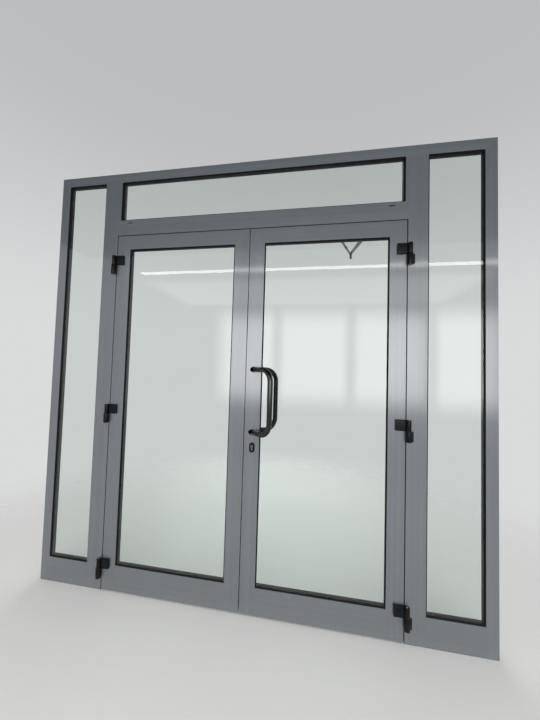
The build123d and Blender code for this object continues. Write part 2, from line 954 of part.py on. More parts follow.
def transom_strike_plate():
    x, y = flush_axis()
    half = transom_strike_length / 2
    z = (opening_height - transom_strike_thickness, opening_height)
    width = (groove_middle - faceplate_width / 2, groove_middle + faceplate_width / 2 - face_seat)
    plate = block((x - half, x + half), width, z)
    hole = (z[0] - EPS, z[1] + EPS)
    return plate - cylinder_z(flush_tip_radius + bolt_play, x, y, hole)


def door_stop_seal():
    """Rubber seal along the stops, behind the leaves' hinge and top edges."""
    y = (frame_depth - stop_thickness - stop_seal_thickness, frame_depth - stop_thickness)
    inner = opening_half - stop_width + stop_clearance
    outer = opening_half - leaf_gap / 2
    low = opening_height - stop_width + stop_clearance
    high = opening_height - leaf_gap / 2
    right = block((inner, outer), y, (0, high))
    top = block((-inner, inner), y, (low, high))
    return Compound([mirrored(right), top, right])


def hinge_parts(level_z, part):
    """Leaf wing, frame wing or pin of the right-hand surface hinge at one level."""
    x, y = hinge_x, -hinge_axis_proud
    split = level_z + frame_knuckle_height
    top = level_z + hinge_height
    if part == "leaf":
        z = (split + knuckle_gap, top)
        inner = leaf_edge - leaf_wing_width
        wing = block((inner, leaf_edge), (-leaf_wing_depth, 0), z)
        wing = fillet(wing.faces().sort_by(Axis.Y)[0].edges(), wing_round)
        link = block((leaf_edge - wing_round, x), (-leaf_wing_depth, -stop_clearance), z)
        wing = wing + link + cylinder_z(knuckle_radius, x, y, z)
    else:
        z = (level_z, split)
        reach = (opening_half + stop_clearance, x + frame_wing_reach)
        wing = block(reach, (-frame_wing_depth, 0), z)
        front = wing.faces().sort_by(Axis.Y)[0].edges().filter_by(Axis.Z)
        wing = fillet(front.sort_by(Axis.X)[-1], wing_round)
        barrel = cylinder_z(frame_knuckle_radius, x, y, z)
        wing = wing + (barrel - block((leaf_edge, x + frame_wing_reach), (-stop_clearance, EPS), z))
    pin_z = (level_z + pin_inset, top - pin_inset)
    if part == "pin":
        return cylinder_z(pin_radius, x, y, pin_z)
    bore = pin_radius + pin_clearance
    return wing - cylinder_z(bore, x, y, (pin_z[0] - pin_clearance, pin_z[1] + pin_clearance))


def hinge_set(part):
    return [hinge_parts(z, part) for z in hinge_levels]


def closer_levels():
    low = opening_height - stop_width - closer_clear
    return low, low + closer_height


def spindle_place():
    return hinge_x - spindle_from_hinge, frame_depth + spindle_off_face


def closer_body():
    """Closer case on its back plate, with its two end caps."""
    x, _ = spindle_place()
    right = x + closer_spindle_end
    left = right - closer_length
    z = closer_levels()
    back = frame_depth + closer_plate
    y = (back, back + closer_depth)
    case = block((left + closer_cap, right - closer_cap), y, z)
    case = fillet(case.faces().sort_by(Axis.Y)[-1].edges().filter_by(Axis.X), closer_round)
    caps = []
    for ends in ((left, left + closer_cap), (right - closer_cap, right)):
        cap = block(ends, y, z)
        caps.append(fillet(cap.faces().sort_by(Axis.Y)[-1].edges().filter_by(Axis.X), closer_round))
    plate_z = (opening_height - stop_width + closer_plate, z[1])
    plate = block((left, right), (frame_depth, back), plate_z)
    return Compound([case, *caps, plate])


def arm_levels():
    top = closer_levels()[0] - arm_drop
    return top - arm_thickness, top


def shoe_pin_place():
    x, _ = spindle_place()
    return x - shoe_from_spindle, frame_depth + shoe_off_face


def elbow_angles():
    """Angles of main arm and forearm, which meet at the elbow on the room side."""
    spindle = Vector(*spindle_place(), 0)
    pin = Vector(*shoe_pin_place(), 0)
    base = pin - spindle
    along = (arm_length**2 - forearm_length**2 + base.length**2) / (2 * base.length)
    turn = degrees(acos(along / arm_length))
    elbow = spindle + base.normalized().rotate(Axis.Z, -turn) * arm_length
    arm = elbow - spindle
    forearm = elbow - pin
    return degrees(atan2(arm.Y, arm.X)), degrees(atan2(forearm.Y, forearm.X))


def closer_main_arm():
    """Tapered arm with its hub up to the closer case."""
    x, y = spindle_place()
    z = arm_levels()
    root = arm_width_root / 2
    tip = arm_width_tip / 2
    bar = prism(
        [(0, -root, z[0]), (arm_length, -tip, z[0]), (arm_length, tip, z[0]), (0, root, z[0])],
        (0, 0, 1),
        arm_thickness,
    )
    bar += cylinder_z(root, 0, 0, z) + cylinder_z(tip, arm_length, 0, z)
    bar = Pos(x, y, 0) * Rot(0, 0, elbow_angles()[0]) * bar
    hub = (z[1], closer_levels()[0] - hub_clearance)
    return bar + cylinder_z(hub_radius, x, y, hub)


def forearm_levels():
    top = arm_levels()[0] - arm_gap
    return top - forearm_thickness, top


def closer_forearm():
    """Forearm from the shoe's pin to the elbow, with the elbow's screw below."""
    x, y = shoe_pin_place()
    z = forearm_levels()
    half = forearm_width / 2
    bar = block((0, forearm_length), (-half, half), z)
    bar += cylinder_z(forearm_eye_radius, 0, 0, z)
    bar += cylinder_z(arm_width_tip / 2, forearm_length, 0, z)
    bar += cylinder_z(elbow_radius, forearm_length, 0, (z[0] - elbow_drop, z[0]))
    bar -= cylinder_z(shoe_pin_radius + shoe_pin_clearance, 0, 0, (z[0] - EPS, z[1] + EPS))
    return Pos(x, y, 0) * Rot(0, 0, elbow_angles()[1]) * bar


def closer_shoe():
    """Bracket on the right leaf's top rail, with the pin of the forearm."""
    x, y = shoe_pin_place()
    z = forearm_levels()
    sight, _ = leaf_light()
    low = sight[1][1] + lip_width + face_seat
    plate_z = (low, closer_levels()[0] - stop_clearance)
    half = shoe_width / 2
    plate = block((x - half, x + half), (frame_depth, frame_depth + shoe_plate), plate_z)
    lug_z = (z[0] - face_seat - shoe_lug_thickness, z[0] - face_seat)
    lug_half = shoe_lug_width / 2
    lug = block((x - lug_half, x + lug_half), (frame_depth, y), lug_z)
    lug += cylinder_z(lug_half, x, y, lug_z)
    return plate + lug + cylinder_z(shoe_pin_radius, x, y, (lug_z[1], z[1]))


def both_sides(shapes):
    """Shapes of the right half with their mirror images."""
    return [mirrored(shape) for shape in shapes] + shapes


def both_leaves(name, shape, nodes):
    """The same piece in the right leaf and, mirrored, in the left leaf."""
    nodes["right_" + name] = shape
    nodes["left_" + name] = mirrored(shape)


def frame_nodes():
    nodes = {"head_bar": head_bar(), "transom_bar": transom_bar()}
    both_leaves("jamb", right_jamb(), nodes)
    both_leaves("mullion", right_mullion(), nodes)
    both_leaves("sill_rail", right_sill_rail(), nodes)
    nodes["top_light_adapters"] = top_light_adapters()
    sight, rebate = side_light()
    both_leaves("side_glass", pane(sight, glass_embed), nodes)
    strips = both_sides(beads(sight, rebate, frame_depth))
    seals = both_sides(gaskets(sight, glass_embed))
    packers = both_sides(setting_blocks(sight, rebate))
    sight, rebate = top_light()
    nodes["top_glass"] = pane(sight, top_glass_embed)
    strips += beads(sight, rebate, frame_depth - stop_thickness)
    seals += gaskets(sight, top_glass_embed)
    packers += setting_blocks(sight, rebate)
    nodes["frame_beads"] = Compound(strips)
    nodes["frame_gaskets"] = Compound(seals)
    nodes["frame_setting_blocks"] = Compound(packers)
    nodes["door_stop_seal"] = door_stop_seal()
    nodes["transom_strike_plate"] = transom_strike_plate()
    both_leaves("frame_hinge_wings", Compound(hinge_set("frame")), nodes)
    nodes["hinge_pins"] = Compound(both_sides(hinge_set("pin")))
    nodes["closer_body"] = closer_body()
    return nodes


def leaf_nodes():
    nodes = {}
    sight, rebate = leaf_light()
    both_leaves("hinge_stile", hinge_stile(), nodes)
    both_leaves("top_rail", top_rail(), nodes)
    both_leaves("bottom_rail", bottom_rail(), nodes)
    both_leaves("leaf_glass", pane(sight, glass_embed), nodes)
    both_leaves("leaf_beads", Compound(beads(sight, rebate, frame_depth)), nodes)
    both_leaves("leaf_gaskets", Compound(gaskets(sight, glass_embed)), nodes)
    both_leaves("leaf_setting_blocks", Compound(setting_blocks(sight, rebate)), nodes)
    both_leaves("leaf_cleats", leaf_cleats(), nodes)
    both_leaves("bottom_brush", brush(), nodes)
    both_leaves("leaf_hinge_wings", Compound(hinge_set("leaf")), nodes)
    nodes["right_lock_stile"] = right_lock_stile()
    nodes["left_lock_stile"] = left_lock_stile()
    return nodes


def hardware_nodes():
    handle = pull_handle()
    return {
        "outer_handle": handle,
        "inner_handle": inner_side(handle),
        "handle_bolts": handle_bolts(),
        "lock_case": lock_case(),
        "lock_faceplate": lock_faceplate(),
        "lock_roses": lock_roses(),
        "cylinder_housing": cylinder_housing(),
        "cylinder_plug": cylinder_plug(),
        "deadbolt": deadbolt(),
        "strike_plate": strike_plate(),
        "meeting_seal": meeting_seal(),
        "upper_flush_bolt": flush_bolt(True),
        "lower_flush_bolt": flush_bolt(False),
        "flush_bolt_plates": flush_plates(),
        "closer_main_arm": closer_main_arm(),
        "closer_forearm": closer_forearm(),
        "closer_shoe": closer_shoe(),
    }


def main():
    os.makedirs("parts", exist_ok=True)
    nodes = {**frame_nodes(), **leaf_nodes(), **hardware_nodes()}
    for name, shape in nodes.items():
        export_step(shape, f"parts/{name}.step")


if __name__ == "__main__":
    main()
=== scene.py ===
"""Looks of a glazed double-leaf entrance door in its aluminium frame.

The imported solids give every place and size. This script dresses them in their finishes and adds the
fine pieces that they carry: rounded gaskets, hinge covers, screws, closer fittings and brush pile.
All lengths are in metres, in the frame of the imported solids.
"""

from __future__ import annotations

import json
import logging
import math
import random
from dataclasses import dataclass
from enum import Enum
from typing import Callable, Iterable, Sequence

import bmesh
import bpy
from mathutils import Matrix, Vector

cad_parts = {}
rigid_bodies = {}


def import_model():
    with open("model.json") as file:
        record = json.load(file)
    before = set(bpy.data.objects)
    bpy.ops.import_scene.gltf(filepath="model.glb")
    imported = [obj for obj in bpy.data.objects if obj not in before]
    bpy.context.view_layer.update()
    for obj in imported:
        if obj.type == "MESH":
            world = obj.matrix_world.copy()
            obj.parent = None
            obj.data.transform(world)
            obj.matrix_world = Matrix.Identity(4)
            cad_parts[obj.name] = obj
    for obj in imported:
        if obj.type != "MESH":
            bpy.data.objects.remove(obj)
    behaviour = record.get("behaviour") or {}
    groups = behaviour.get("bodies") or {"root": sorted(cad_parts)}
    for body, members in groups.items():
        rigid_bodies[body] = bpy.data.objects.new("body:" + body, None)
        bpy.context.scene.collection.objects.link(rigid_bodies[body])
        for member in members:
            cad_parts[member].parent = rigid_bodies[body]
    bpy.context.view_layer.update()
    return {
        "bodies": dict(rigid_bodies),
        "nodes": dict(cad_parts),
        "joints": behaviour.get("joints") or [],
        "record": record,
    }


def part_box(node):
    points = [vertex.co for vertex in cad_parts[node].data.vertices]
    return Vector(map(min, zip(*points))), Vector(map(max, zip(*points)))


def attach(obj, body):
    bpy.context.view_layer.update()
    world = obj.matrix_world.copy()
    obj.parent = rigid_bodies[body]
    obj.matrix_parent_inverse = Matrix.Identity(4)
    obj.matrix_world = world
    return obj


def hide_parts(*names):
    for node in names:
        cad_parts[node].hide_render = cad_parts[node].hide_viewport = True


LOG = logging.getLogger("entrance_door")
MM = 0.001
SHARP = math.radians(35)
Colour = tuple[float, float, float]
Point = tuple[float, float, float]
Profile = Sequence[tuple[float, float]]


class Run(Enum):
    """Direction in which a bar was extruded, which its die lines follow."""

    UPRIGHT = "upright"
    LEVEL = "level"


class Drive(Enum):
    """Recess in a screw head; the value is its size as a share of the head's radius."""

    CROSS = 0.52
    HEX = 0.46

    def reach(self, angle: float) -> float:
        """Distance from the recess's middle to its edge.

        Args:
            angle: Direction from the middle, in radians.

        Returns:
            The distance as a share of the recess's size.
        """
        if self is Drive.HEX:
            half = math.pi / 6
            return math.cos(half) / math.cos(angle % (2 * half) - half)
        core = 0.34
        return core + (1 - core) * abs(math.cos(2 * angle)) ** 6


class Side(Enum):
    """Half of the door, seen from outside; the value is the sign of X."""

    LEFT = -1
    RIGHT = 1

    @property
    def label(self) -> str:
        """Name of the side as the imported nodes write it."""
        return self.name.lower()

    def across(self, near: float, far: float) -> tuple[float, float]:
        """Low and high X of what lies between two distances from the door's middle."""
        low, high = sorted((self.value * near, self.value * far))
        return low, high


# Shader graphs


class Graph:
    """A node tree that is being filled, with short calls for nodes and links."""

    def __init__(self, tree: bpy.types.NodeTree) -> None:
        """Keeps the node tree of a material, a lamp, the world or a shader node group."""
        self.tree = tree

    def node(self, kind: str, **values: object) -> bpy.types.Node:
        """Adds a node.

        Args:
            kind: The node's type name, without its leading ShaderNode.
            values: Attributes of the node to set.

        Returns:
            The new node.
        """
        made = self.tree.nodes.new(kind if kind.startswith("NodeGroup") else f"ShaderNode{kind}")
        for name, value in values.items():
            setattr(made, name, value)
        return made

    def feed(self, socket: bpy.types.NodeSocket, value: object) -> None:
        """Links another socket to an input, or sets the input's own value.

        Args:
            socket: The input socket.
            value: An output socket, a number or a tuple.
        """
        if isinstance(value, bpy.types.NodeSocket):
            self.tree.links.new(value, socket)
        else:
            socket.default_value = value

    def place(self) -> bpy.types.NodeSocket:
        """Coordinates in the frame of the door."""
        return self.node("TexCoord").outputs["Object"]

    def parts(self, vector: bpy.types.NodeSocket) -> bpy.types.bpy_prop_collection:
        """Splits a vector.

        Args:
            vector: The vector's socket.

        Returns:
            The outputs X, Y and Z.
        """
        made = self.node("SeparateXYZ")
        self.feed(made.inputs[0], vector)
        return made.outputs

    def math(self, operation: str, *values: object) -> bpy.types.NodeSocket:
        """Adds a math node.

        Args:
            operation: Name of the operation.
            values: Sockets or numbers for its inputs.

        Returns:
            The result's socket.
        """
        made = self.node("Math", operation=operation)
        for socket, value in zip(made.inputs, values):
            self.feed(socket, value)
        return made.outputs[0]

    def more(self, base: object, value: object, share: float) -> bpy.types.NodeSocket:
        """A base raised by a share of another value."""
        return self.math("MULTIPLY_ADD", value, share, base)

    def ramp(
        self,
        value: object,
        low: object,
        high: object,
        to: tuple[float, float] = (0.0, 1.0),
    ) -> bpy.types.NodeSocket:
        """Maps a range of values smoothly on to another, held at its ends.

        Args:
            value: Socket that varies.
            low: Value that gives the first result.
            high: Value that gives the second result.
            to: The two results.

        Returns:
            The result's socket.
        """
        made = self.node("MapRange", interpolation_type="SMOOTHSTEP")
        for name, number in (("Value", value), ("From Min", low), ("From Max", high)):
            self.feed(made.inputs[name], number)
        made.inputs["To Min"].default_value, made.inputs["To Max"].default_value = to
        return made.outputs[0]

    def blend(self, share: object, first: object, second: object) -> bpy.types.NodeSocket:
        """Mixes two colours.

        Args:
            share: Share of the second colour.
            first: Colour or socket.
            second: Colour or socket.

        Returns:
            The mixed colour's socket.
        """
        made = self.node("Mix", data_type="RGBA")
        self.feed(made.inputs["Factor"], share)
        for name, value in (("A", first), ("B", second)):
            socket = next(s for s in made.inputs if s.name == name and s.type == "RGBA")
            self.feed(socket, (*value, 1.0) if isinstance(value, tuple) else value)
        return next(s for s in made.outputs if s.type == "RGBA")

    def noise(
        self,
        vector: object,
        scale: object,
        detail: float = 3.0,
        rough: float = 0.5,
    ) -> bpy.types.NodeSocket:
        """Adds a noise texture.

        Args:
            vector: Coordinates.
            scale: Scale of the noise.
            detail: Octaves.
            rough: Strength of the finer octaves.

        Returns:
            The noise value's socket.
        """
        made = self.node("TexNoise")
        self.feed(made.inputs["Vector"], vector)
        self.feed(made.inputs["Scale"], scale)
        made.inputs["Detail"].default_value = detail
        made.inputs["Roughness"].default_value = rough
        return made.outputs["Fac"]

    def show(self, share: object, first: bpy.types.Node, second: bpy.types.Node) -> None:
        """Puts a mix of two shaders on the surface.

        Args:
            share: Share of the second shader.
            first: Shader node.
            second: Shader node.
        """
        made = self.node("MixShader")
        for socket, value in zip(made.inputs, (share, first.outputs[0], second.outputs[0])):
            self.feed(socket, value)
        out = next(n for n in self.tree.nodes if n.type == "OUTPUT_MATERIAL")
        self.feed(out.inputs["Surface"], made.outputs[0])


@dataclass(frozen=True)
class Effect:
    """A shader node group with named inputs and outputs, built once and reused."""

    name: str
    inputs: tuple[tuple[str, str, object], ...]
    outputs: tuple[str, ...]
    fill: Callable[[Graph, bpy.types.Node, bpy.types.Node], None]

    def group(self) -> bpy.types.NodeTree:
        """Makes the node group on its first use.

        Returns:
            The node group.
        """
        found = bpy.data.node_groups.get(self.name)
        if found:
            return found
        tree = bpy.data.node_groups.new(self.name, "ShaderNodeTree")
        for name, kind, value in self.inputs:
            socket = tree.interface.new_socket(name, in_out="INPUT", socket_type=kind)
            socket.default_value = value
        for name in self.outputs:
            tree.interface.new_socket(name, in_out="OUTPUT", socket_type="NodeSocketFloat")
        graph = Graph(tree)
        self.fill(graph, graph.node("NodeGroupInput"), graph.node("NodeGroupOutput"))
        return tree

    def place(self, graph: Graph, **values: object) -> bpy.types.bpy_prop_collection:
        """Places the group in a material.

        Args:
            graph: The material's graph.
            values: Inputs by name.

        Returns:
            The group's outputs.
        """
        made = graph.node("Group", node_tree=self.group())
        for name, value in values.items():
            graph.feed(made.inputs[name], value)
        return made.outputs


def fill_die_lines(graph: Graph, given: bpy.types.Node, out: bpy.types.Node) -> None:
    """Long fine lines and slow waves that the extrusion die leaves along a bar.

    Args:
        graph: Graph of the group.
        given: Its input node.
        out: Its output node.
    """
    made = graph.node("VectorMath", operation="MULTIPLY")
    graph.feed(made.inputs[0], graph.place())
    graph.feed(made.inputs[1], given.outputs["Stretch"])
    along = made.outputs[0]
    graph.feed(out.inputs["Lines"], graph.noise(along, given.outputs["Lines"], detail=4.0, rough=0.6))
    graph.feed(out.inputs["Waves"], graph.noise(along, given.outputs["Waves"], detail=1.0))


def fill_orange_peel(graph: Graph, given: bpy.types.Node, out: bpy.types.Node) -> None:
    """Fine pebbled surface of a baked powder coat.

    Args:
        graph: Graph of the group.
        given: Its input node.
        out: Its output node.
    """
    place = graph.place()
    peel = graph.noise(place, given.outputs["Scale"], detail=2.0)
    grain = graph.node("TexVoronoi", feature="SMOOTH_F1")
    graph.feed(grain.inputs["Vector"], place)
    graph.feed(grain.inputs["Scale"], given.outputs["Scale"])
    graph.feed(out.inputs["Height"], graph.more(peel, grain.outputs["Distance"], share=0.5))


def fill_smudges(graph: Graph, given: bpy.types.Node, out: bpy.types.Node) -> None:
    """Soft patches where hands and cloths have changed the gloss.

    Args:
        graph: Graph of the group.
        given: Its input node.
        out: Its output node.
    """
    softness = 0.3
    patch = graph.noise(graph.place(), given.outputs["Scale"], detail=5.0, rough=0.62)
    low = graph.math("SUBTRACT", 1.0, given.outputs["Cover"])
    graph.feed(out.inputs["Mask"], graph.ramp(patch, low, graph.math("ADD", low, softness)))


def fill_floor_dust(graph: Graph, given: bpy.types.Node, out: bpy.types.Node) -> None:
    """Dust and mop marks that rise from the floor and settle on ledges.

    Args:
        graph: Graph of the group.
        given: Its input node.
        out: Its output node.
    """
    speck_scale = 160.0
    place = graph.place()
    rise = graph.ramp(graph.parts(place)["Z"], given.outputs["Reach"], 0.0)
    ragged = graph.noise(place, speck_scale, detail=6.0, rough=0.7)
    splash = graph.math("MULTIPLY", rise, graph.ramp(ragged, low=0.35, high=0.75))
    facing = graph.parts(graph.node("NewGeometry").outputs["Normal"])["Z"]
    ledge = graph.math("MULTIPLY", graph.ramp(facing, low=0.6, high=1.0), given.outputs["Ledges"])
    both = graph.math("MAXIMUM", splash, graph.math("MULTIPLY", ledge, ragged))
    graph.feed(out.inputs["Mask"], graph.math("MULTIPLY", both, given.outputs["Amount"]))


DIE_LINES = Effect(
    "die_lines",
    (
        ("Stretch", "NodeSocketVector", (1.0, 1.0, 0.01)),
        ("Lines", "NodeSocketFloat", 900.0),
        ("Waves", "NodeSocketFloat", 40.0),
    ),
    ("Lines", "Waves"),
    fill_die_lines,
)
ORANGE_PEEL = Effect(
    "orange_peel",
    (("Scale", "NodeSocketFloat", 900.0),),
    ("Height",),
    fill_orange_peel,
)
SMUDGES = Effect(
    "smudges",
    (("Scale", "NodeSocketFloat", 9.0), ("Cover", "NodeSocketFloat", 0.5)),
    ("Mask",),
    fill_smudges,
)
FLOOR_DUST = Effect(
    "floor_dust",
    (
        ("Reach", "NodeSocketFloat", 0.35),
        ("Ledges", "NodeSocketFloat", 0.5),
        ("Amount", "NodeSocketFloat", 0.5),
    ),
    ("Mask",),
    fill_floor_dust,
)


# Finishes


@dataclass(frozen=True)
class Finish:
    """A finish of the door's surfaces; each kind fills its own shader."""

    name: str
    slot: str

    def material(self) -> bpy.types.Material:
        """Makes the finish's material on its first use.

        Returns:
            The material.
        """
        found = bpy.data.materials.get(self.name)
        if found:
            return found
        made = bpy.data.materials.new(self.name)
        made.use_nodes = True
        self.fill(Graph(made.node_tree), made.node_tree.nodes["Principled BSDF"])
        return made

    def fill(self, graph: Graph, shader: bpy.types.Node) -> None:
        """Fills the material's graph around its Principled shader."""
        raise NotImplementedError

    def bump(
        self,
        graph: Graph,
        shader: bpy.types.Node,
        height: object,
        depth: float,
        strength: float = 1.0,
    ) -> None:
        """Gives the shader a bumped normal.

        Args:
            graph: The material's graph.
            shader: Its Principled shader.
            height: Height socket.
            depth: Depth of the relief in metres.
            strength: Strength of the bump.
        """
        made = graph.node("Bump")
        made.inputs["Strength"].default_value = strength
        made.inputs["Distance"].default_value = depth
        graph.feed(made.inputs["Height"], height)
        graph.feed(shader.inputs["Normal"], made.outputs[0])


@dataclass(frozen=True)
class PowderCoat(Finish):
    """Semi-gloss grey powder coat on extruded aluminium."""

    run: Run
    colour: Colour
    lighter: float = 1.12
    dust_colour: Colour = (0.42, 0.41, 0.38)
    gloss: float = 0.27
    smudged: float = 0.07
    streaked: float = 0.10
    dusted: float = 0.35
    specular: float = 0.6
    coat: float = 1.0
    coat_roughness: float = 0.09
    coat_ior: float = 1.6
    along: float = 0.006
    relief_depth: float = 0.02 * MM
    line_share: float = 0.4
    wave_share: float = 12.0
    peel_share: float = 0.22

    def fill(self, graph: Graph, shader: bpy.types.Node) -> None:
        """Fills the material.

        Args:
            graph: The material's graph.
            shader: Its Principled shader.
        """
        stretch = (1.0, 1.0, self.along) if self.run is Run.UPRIGHT else (self.along, 1.0, 1.0)
        lines = DIE_LINES.place(graph, Stretch=stretch, Lines=700.0, Waves=34.0)
        peel = ORANGE_PEEL.place(graph, Scale=1300.0)["Height"]
        smudge = SMUDGES.place(graph, Scale=6.5, Cover=0.52)["Mask"]
        dust = FLOOR_DUST.place(graph, Reach=0.10, Ledges=0.35, Amount=0.22)["Mask"]
        lighter = tuple(channel * self.lighter for channel in self.colour)
        tone = graph.blend(graph.ramp(lines["Waves"], low=0.3, high=0.7), self.colour, lighter)
        graph.feed(shader.inputs["Base Color"], graph.blend(dust, tone, self.dust_colour))
        rough = graph.more(self.gloss, smudge, self.smudged)
        rough = graph.more(rough, lines["Lines"], self.streaked)
        graph.feed(shader.inputs["Roughness"], graph.more(rough, dust, self.dusted))
        shader.inputs["Specular IOR Level"].default_value = self.specular
        shader.inputs["Coat Weight"].default_value = self.coat
        shader.inputs["Coat Roughness"].default_value = self.coat_roughness
        shader.inputs["Coat IOR"].default_value = self.coat_ior
        relief = graph.math("MULTIPLY", lines["Lines"], self.line_share)
        relief = graph.more(relief, lines["Waves"], self.wave_share)
        relief = graph.more(relief, peel, self.peel_share)
        self.bump(graph, shader, relief, self.relief_depth)


@dataclass(frozen=True)
class Paint(Finish):
    """Even paint or lacquer on metal or plastic, with fine texture, dust and handling marks."""

    colour: Colour
    worn_colour: Colour
    gloss: float
    texture: float
    depth: float
    specular: float
    coat: float = 0.0
    coat_roughness: float = 0.06
    dust: float = 0.12
    dust_colour: Colour = (0.36, 0.35, 0.33)
    smudged: float = 0.08
    dusted: float = 0.4

    def fill(self, graph: Graph, shader: bpy.types.Node) -> None:
        """Fills the material.

        Args:
            graph: The material's graph.
            shader: Its Principled shader.
        """
        peel = ORANGE_PEEL.place(graph, Scale=self.texture)["Height"]
        smudge = SMUDGES.place(graph, Scale=26.0, Cover=0.45)["Mask"]
        dust = FLOOR_DUST.place(graph, Reach=0.25, Ledges=0.6, Amount=self.dust)["Mask"]
        tone = graph.blend(smudge, self.colour, self.worn_colour)
        graph.feed(shader.inputs["Base Color"], graph.blend(dust, tone, self.dust_colour))
        rough = graph.more(self.gloss, smudge, self.smudged)
        graph.feed(shader.inputs["Roughness"], graph.more(rough, dust, self.dusted))
        shader.inputs["Specular IOR Level"].default_value = self.specular
        shader.inputs["Coat Weight"].default_value = self.coat
        shader.inputs["Coat Roughness"].default_value = self.coat_roughness
        self.bump(graph, shader, peel, self.depth)


@dataclass(frozen=True)
class Metal(Finish):
    """Bare or plated metal with a brushed grain along one axis."""

    colour: Colour
    tarnish: Colour
    gloss: float
    stretch: Point = (1.0, 1.0, 0.02)
    tarnished: float = 0.6
    brushed: float = 0.22
    smudged: float = 0.1
    depth: float = 0.012 * MM

    def fill(self, graph: Graph, shader: bpy.types.Node) -> None:
        """Fills the material.

        Args:
            graph: The material's graph.
            shader: Its Principled shader.
        """
        grain = DIE_LINES.place(graph, Stretch=self.stretch, Lines=2600.0)["Lines"]
        smudge = SMUDGES.place(graph, Scale=60.0, Cover=0.5)["Mask"]
        share = graph.math("MULTIPLY", smudge, self.tarnished)
        graph.feed(shader.inputs["Base Color"], graph.blend(share, self.colour, self.tarnish))
        rough = graph.more(self.gloss, grain, self.brushed)
        graph.feed(shader.inputs["Roughness"], graph.more(rough, smudge, self.smudged))
        shader.inputs["Metallic"].default_value = 1.0
        self.bump(graph, shader, grain, self.depth)


@dataclass(frozen=True)
class Rubber(Finish):
    """Matt black rubber with a slight bloom and mould grain."""

    colour: Colour
    bloom: Colour
    bloomed: float = 0.7
    dust_colour: Colour = (0.30, 0.29, 0.27)
    gloss: float = 0.5
    grained: float = 0.2
    grain_scale: float = 2600.0
    specular: float = 0.1
    depth: float = 0.03 * MM

    def fill(self, graph: Graph, shader: bpy.types.Node) -> None:
        """Fills the material.

        Args:
            graph: The material's graph.
            shader: Its Principled shader.
        """
        grain = graph.noise(graph.place(), self.grain_scale)
        smudge = SMUDGES.place(graph, Scale=14.0, Cover=0.5)["Mask"]
        dust = FLOOR_DUST.place(graph, Reach=0.35, Ledges=0.4, Amount=0.10)["Mask"]
        share = graph.math("MULTIPLY", smudge, self.bloomed)
        tone = graph.blend(share, self.colour, self.bloom)
        graph.feed(shader.inputs["Base Color"], graph.blend(dust, tone, self.dust_colour))
        graph.feed(shader.inputs["Roughness"], graph.more(self.gloss, grain, self.grained))
        shader.inputs["Specular IOR Level"].default_value = self.specular
        self.bump(graph, shader, grain, self.depth)


@dataclass(frozen=True)
class Pile(Finish):
    """Dense black brush pile."""

    colour: Colour
    tips: Colour
    dust_colour: Colour = (0.25, 0.24, 0.22)
    roughness: tuple[float, float] = (0.6, 0.85)
    sheen: float = 0.3
    depth: float = 0.1 * MM

    def fill(self, graph: Graph, shader: bpy.types.Node) -> None:
        """Fills the material.

        Args:
            graph: The material's graph.
            shader: Its Principled shader.
        """
        lines = DIE_LINES.place(graph, Stretch=(1.0, 1.0, 0.05), Lines=3200.0, Waves=300.0)
        dust = FLOOR_DUST.place(graph, Reach=0.02, Ledges=0.2, Amount=0.8)["Mask"]
        tone = graph.blend(lines["Lines"], self.colour, self.tips)
        graph.feed(shader.inputs["Base Color"], graph.blend(dust, tone, self.dust_colour))
        rough = graph.ramp(lines["Waves"], 0.0, 1.0, self.roughness)
        graph.feed(shader.inputs["Roughness"], rough)
        shader.inputs["Sheen Weight"].default_value = self.sheen
        self.bump(graph, shader, lines["Lines"], self.depth)


@dataclass(frozen=True)
class ClearGlass(Finish):
    """Clear safety glass with a slight green body and faint wiping marks."""

    tint: Colour
    shade: Colour
    film: Colour = (0.76, 0.82, 0.80)
    filmed: float = 0.5
    dust_colour: Colour = (0.66, 0.68, 0.65)
    hazed: float = 0.012
    ior: float = 1.5
    ripple_scale: float = 2.4
    ripple_depth: float = 0.25 * MM
    ripple_strength: float = 0.35

    def fill(self, graph: Graph, shader: bpy.types.Node) -> None:
        """Fills the material, whose shadows are clear with a light shade.

        Args:
            graph: The material's graph.
            shader: Its Principled shader.
        """
        smudge = SMUDGES.place(graph, Scale=3.2, Cover=0.42)["Mask"]
        dust = FLOOR_DUST.place(graph, Reach=0.45, Ledges=0.0, Amount=0.35)["Mask"]
        wiped = graph.blend(graph.math("MULTIPLY", smudge, self.filmed), self.tint, self.film)
        graph.feed(shader.inputs["Base Color"], graph.blend(dust, wiped, self.dust_colour))
        graph.feed(shader.inputs["Roughness"], graph.math("MULTIPLY", smudge, self.hazed))
        shader.inputs["Metallic"].default_value = 0.0
        shader.inputs["Transmission Weight"].default_value = 1.0
        shader.inputs["IOR"].default_value = self.ior
        ripples = graph.noise(graph.place(), self.ripple_scale, detail=1.0)
        self.bump(graph, shader, ripples, self.ripple_depth, self.ripple_strength)
        clear = graph.node("BsdfTransparent")
        clear.inputs["Color"].default_value = (*self.shade, 1.0)
        graph.show(graph.node("LightPath").outputs["Is Shadow Ray"], shader, clear)


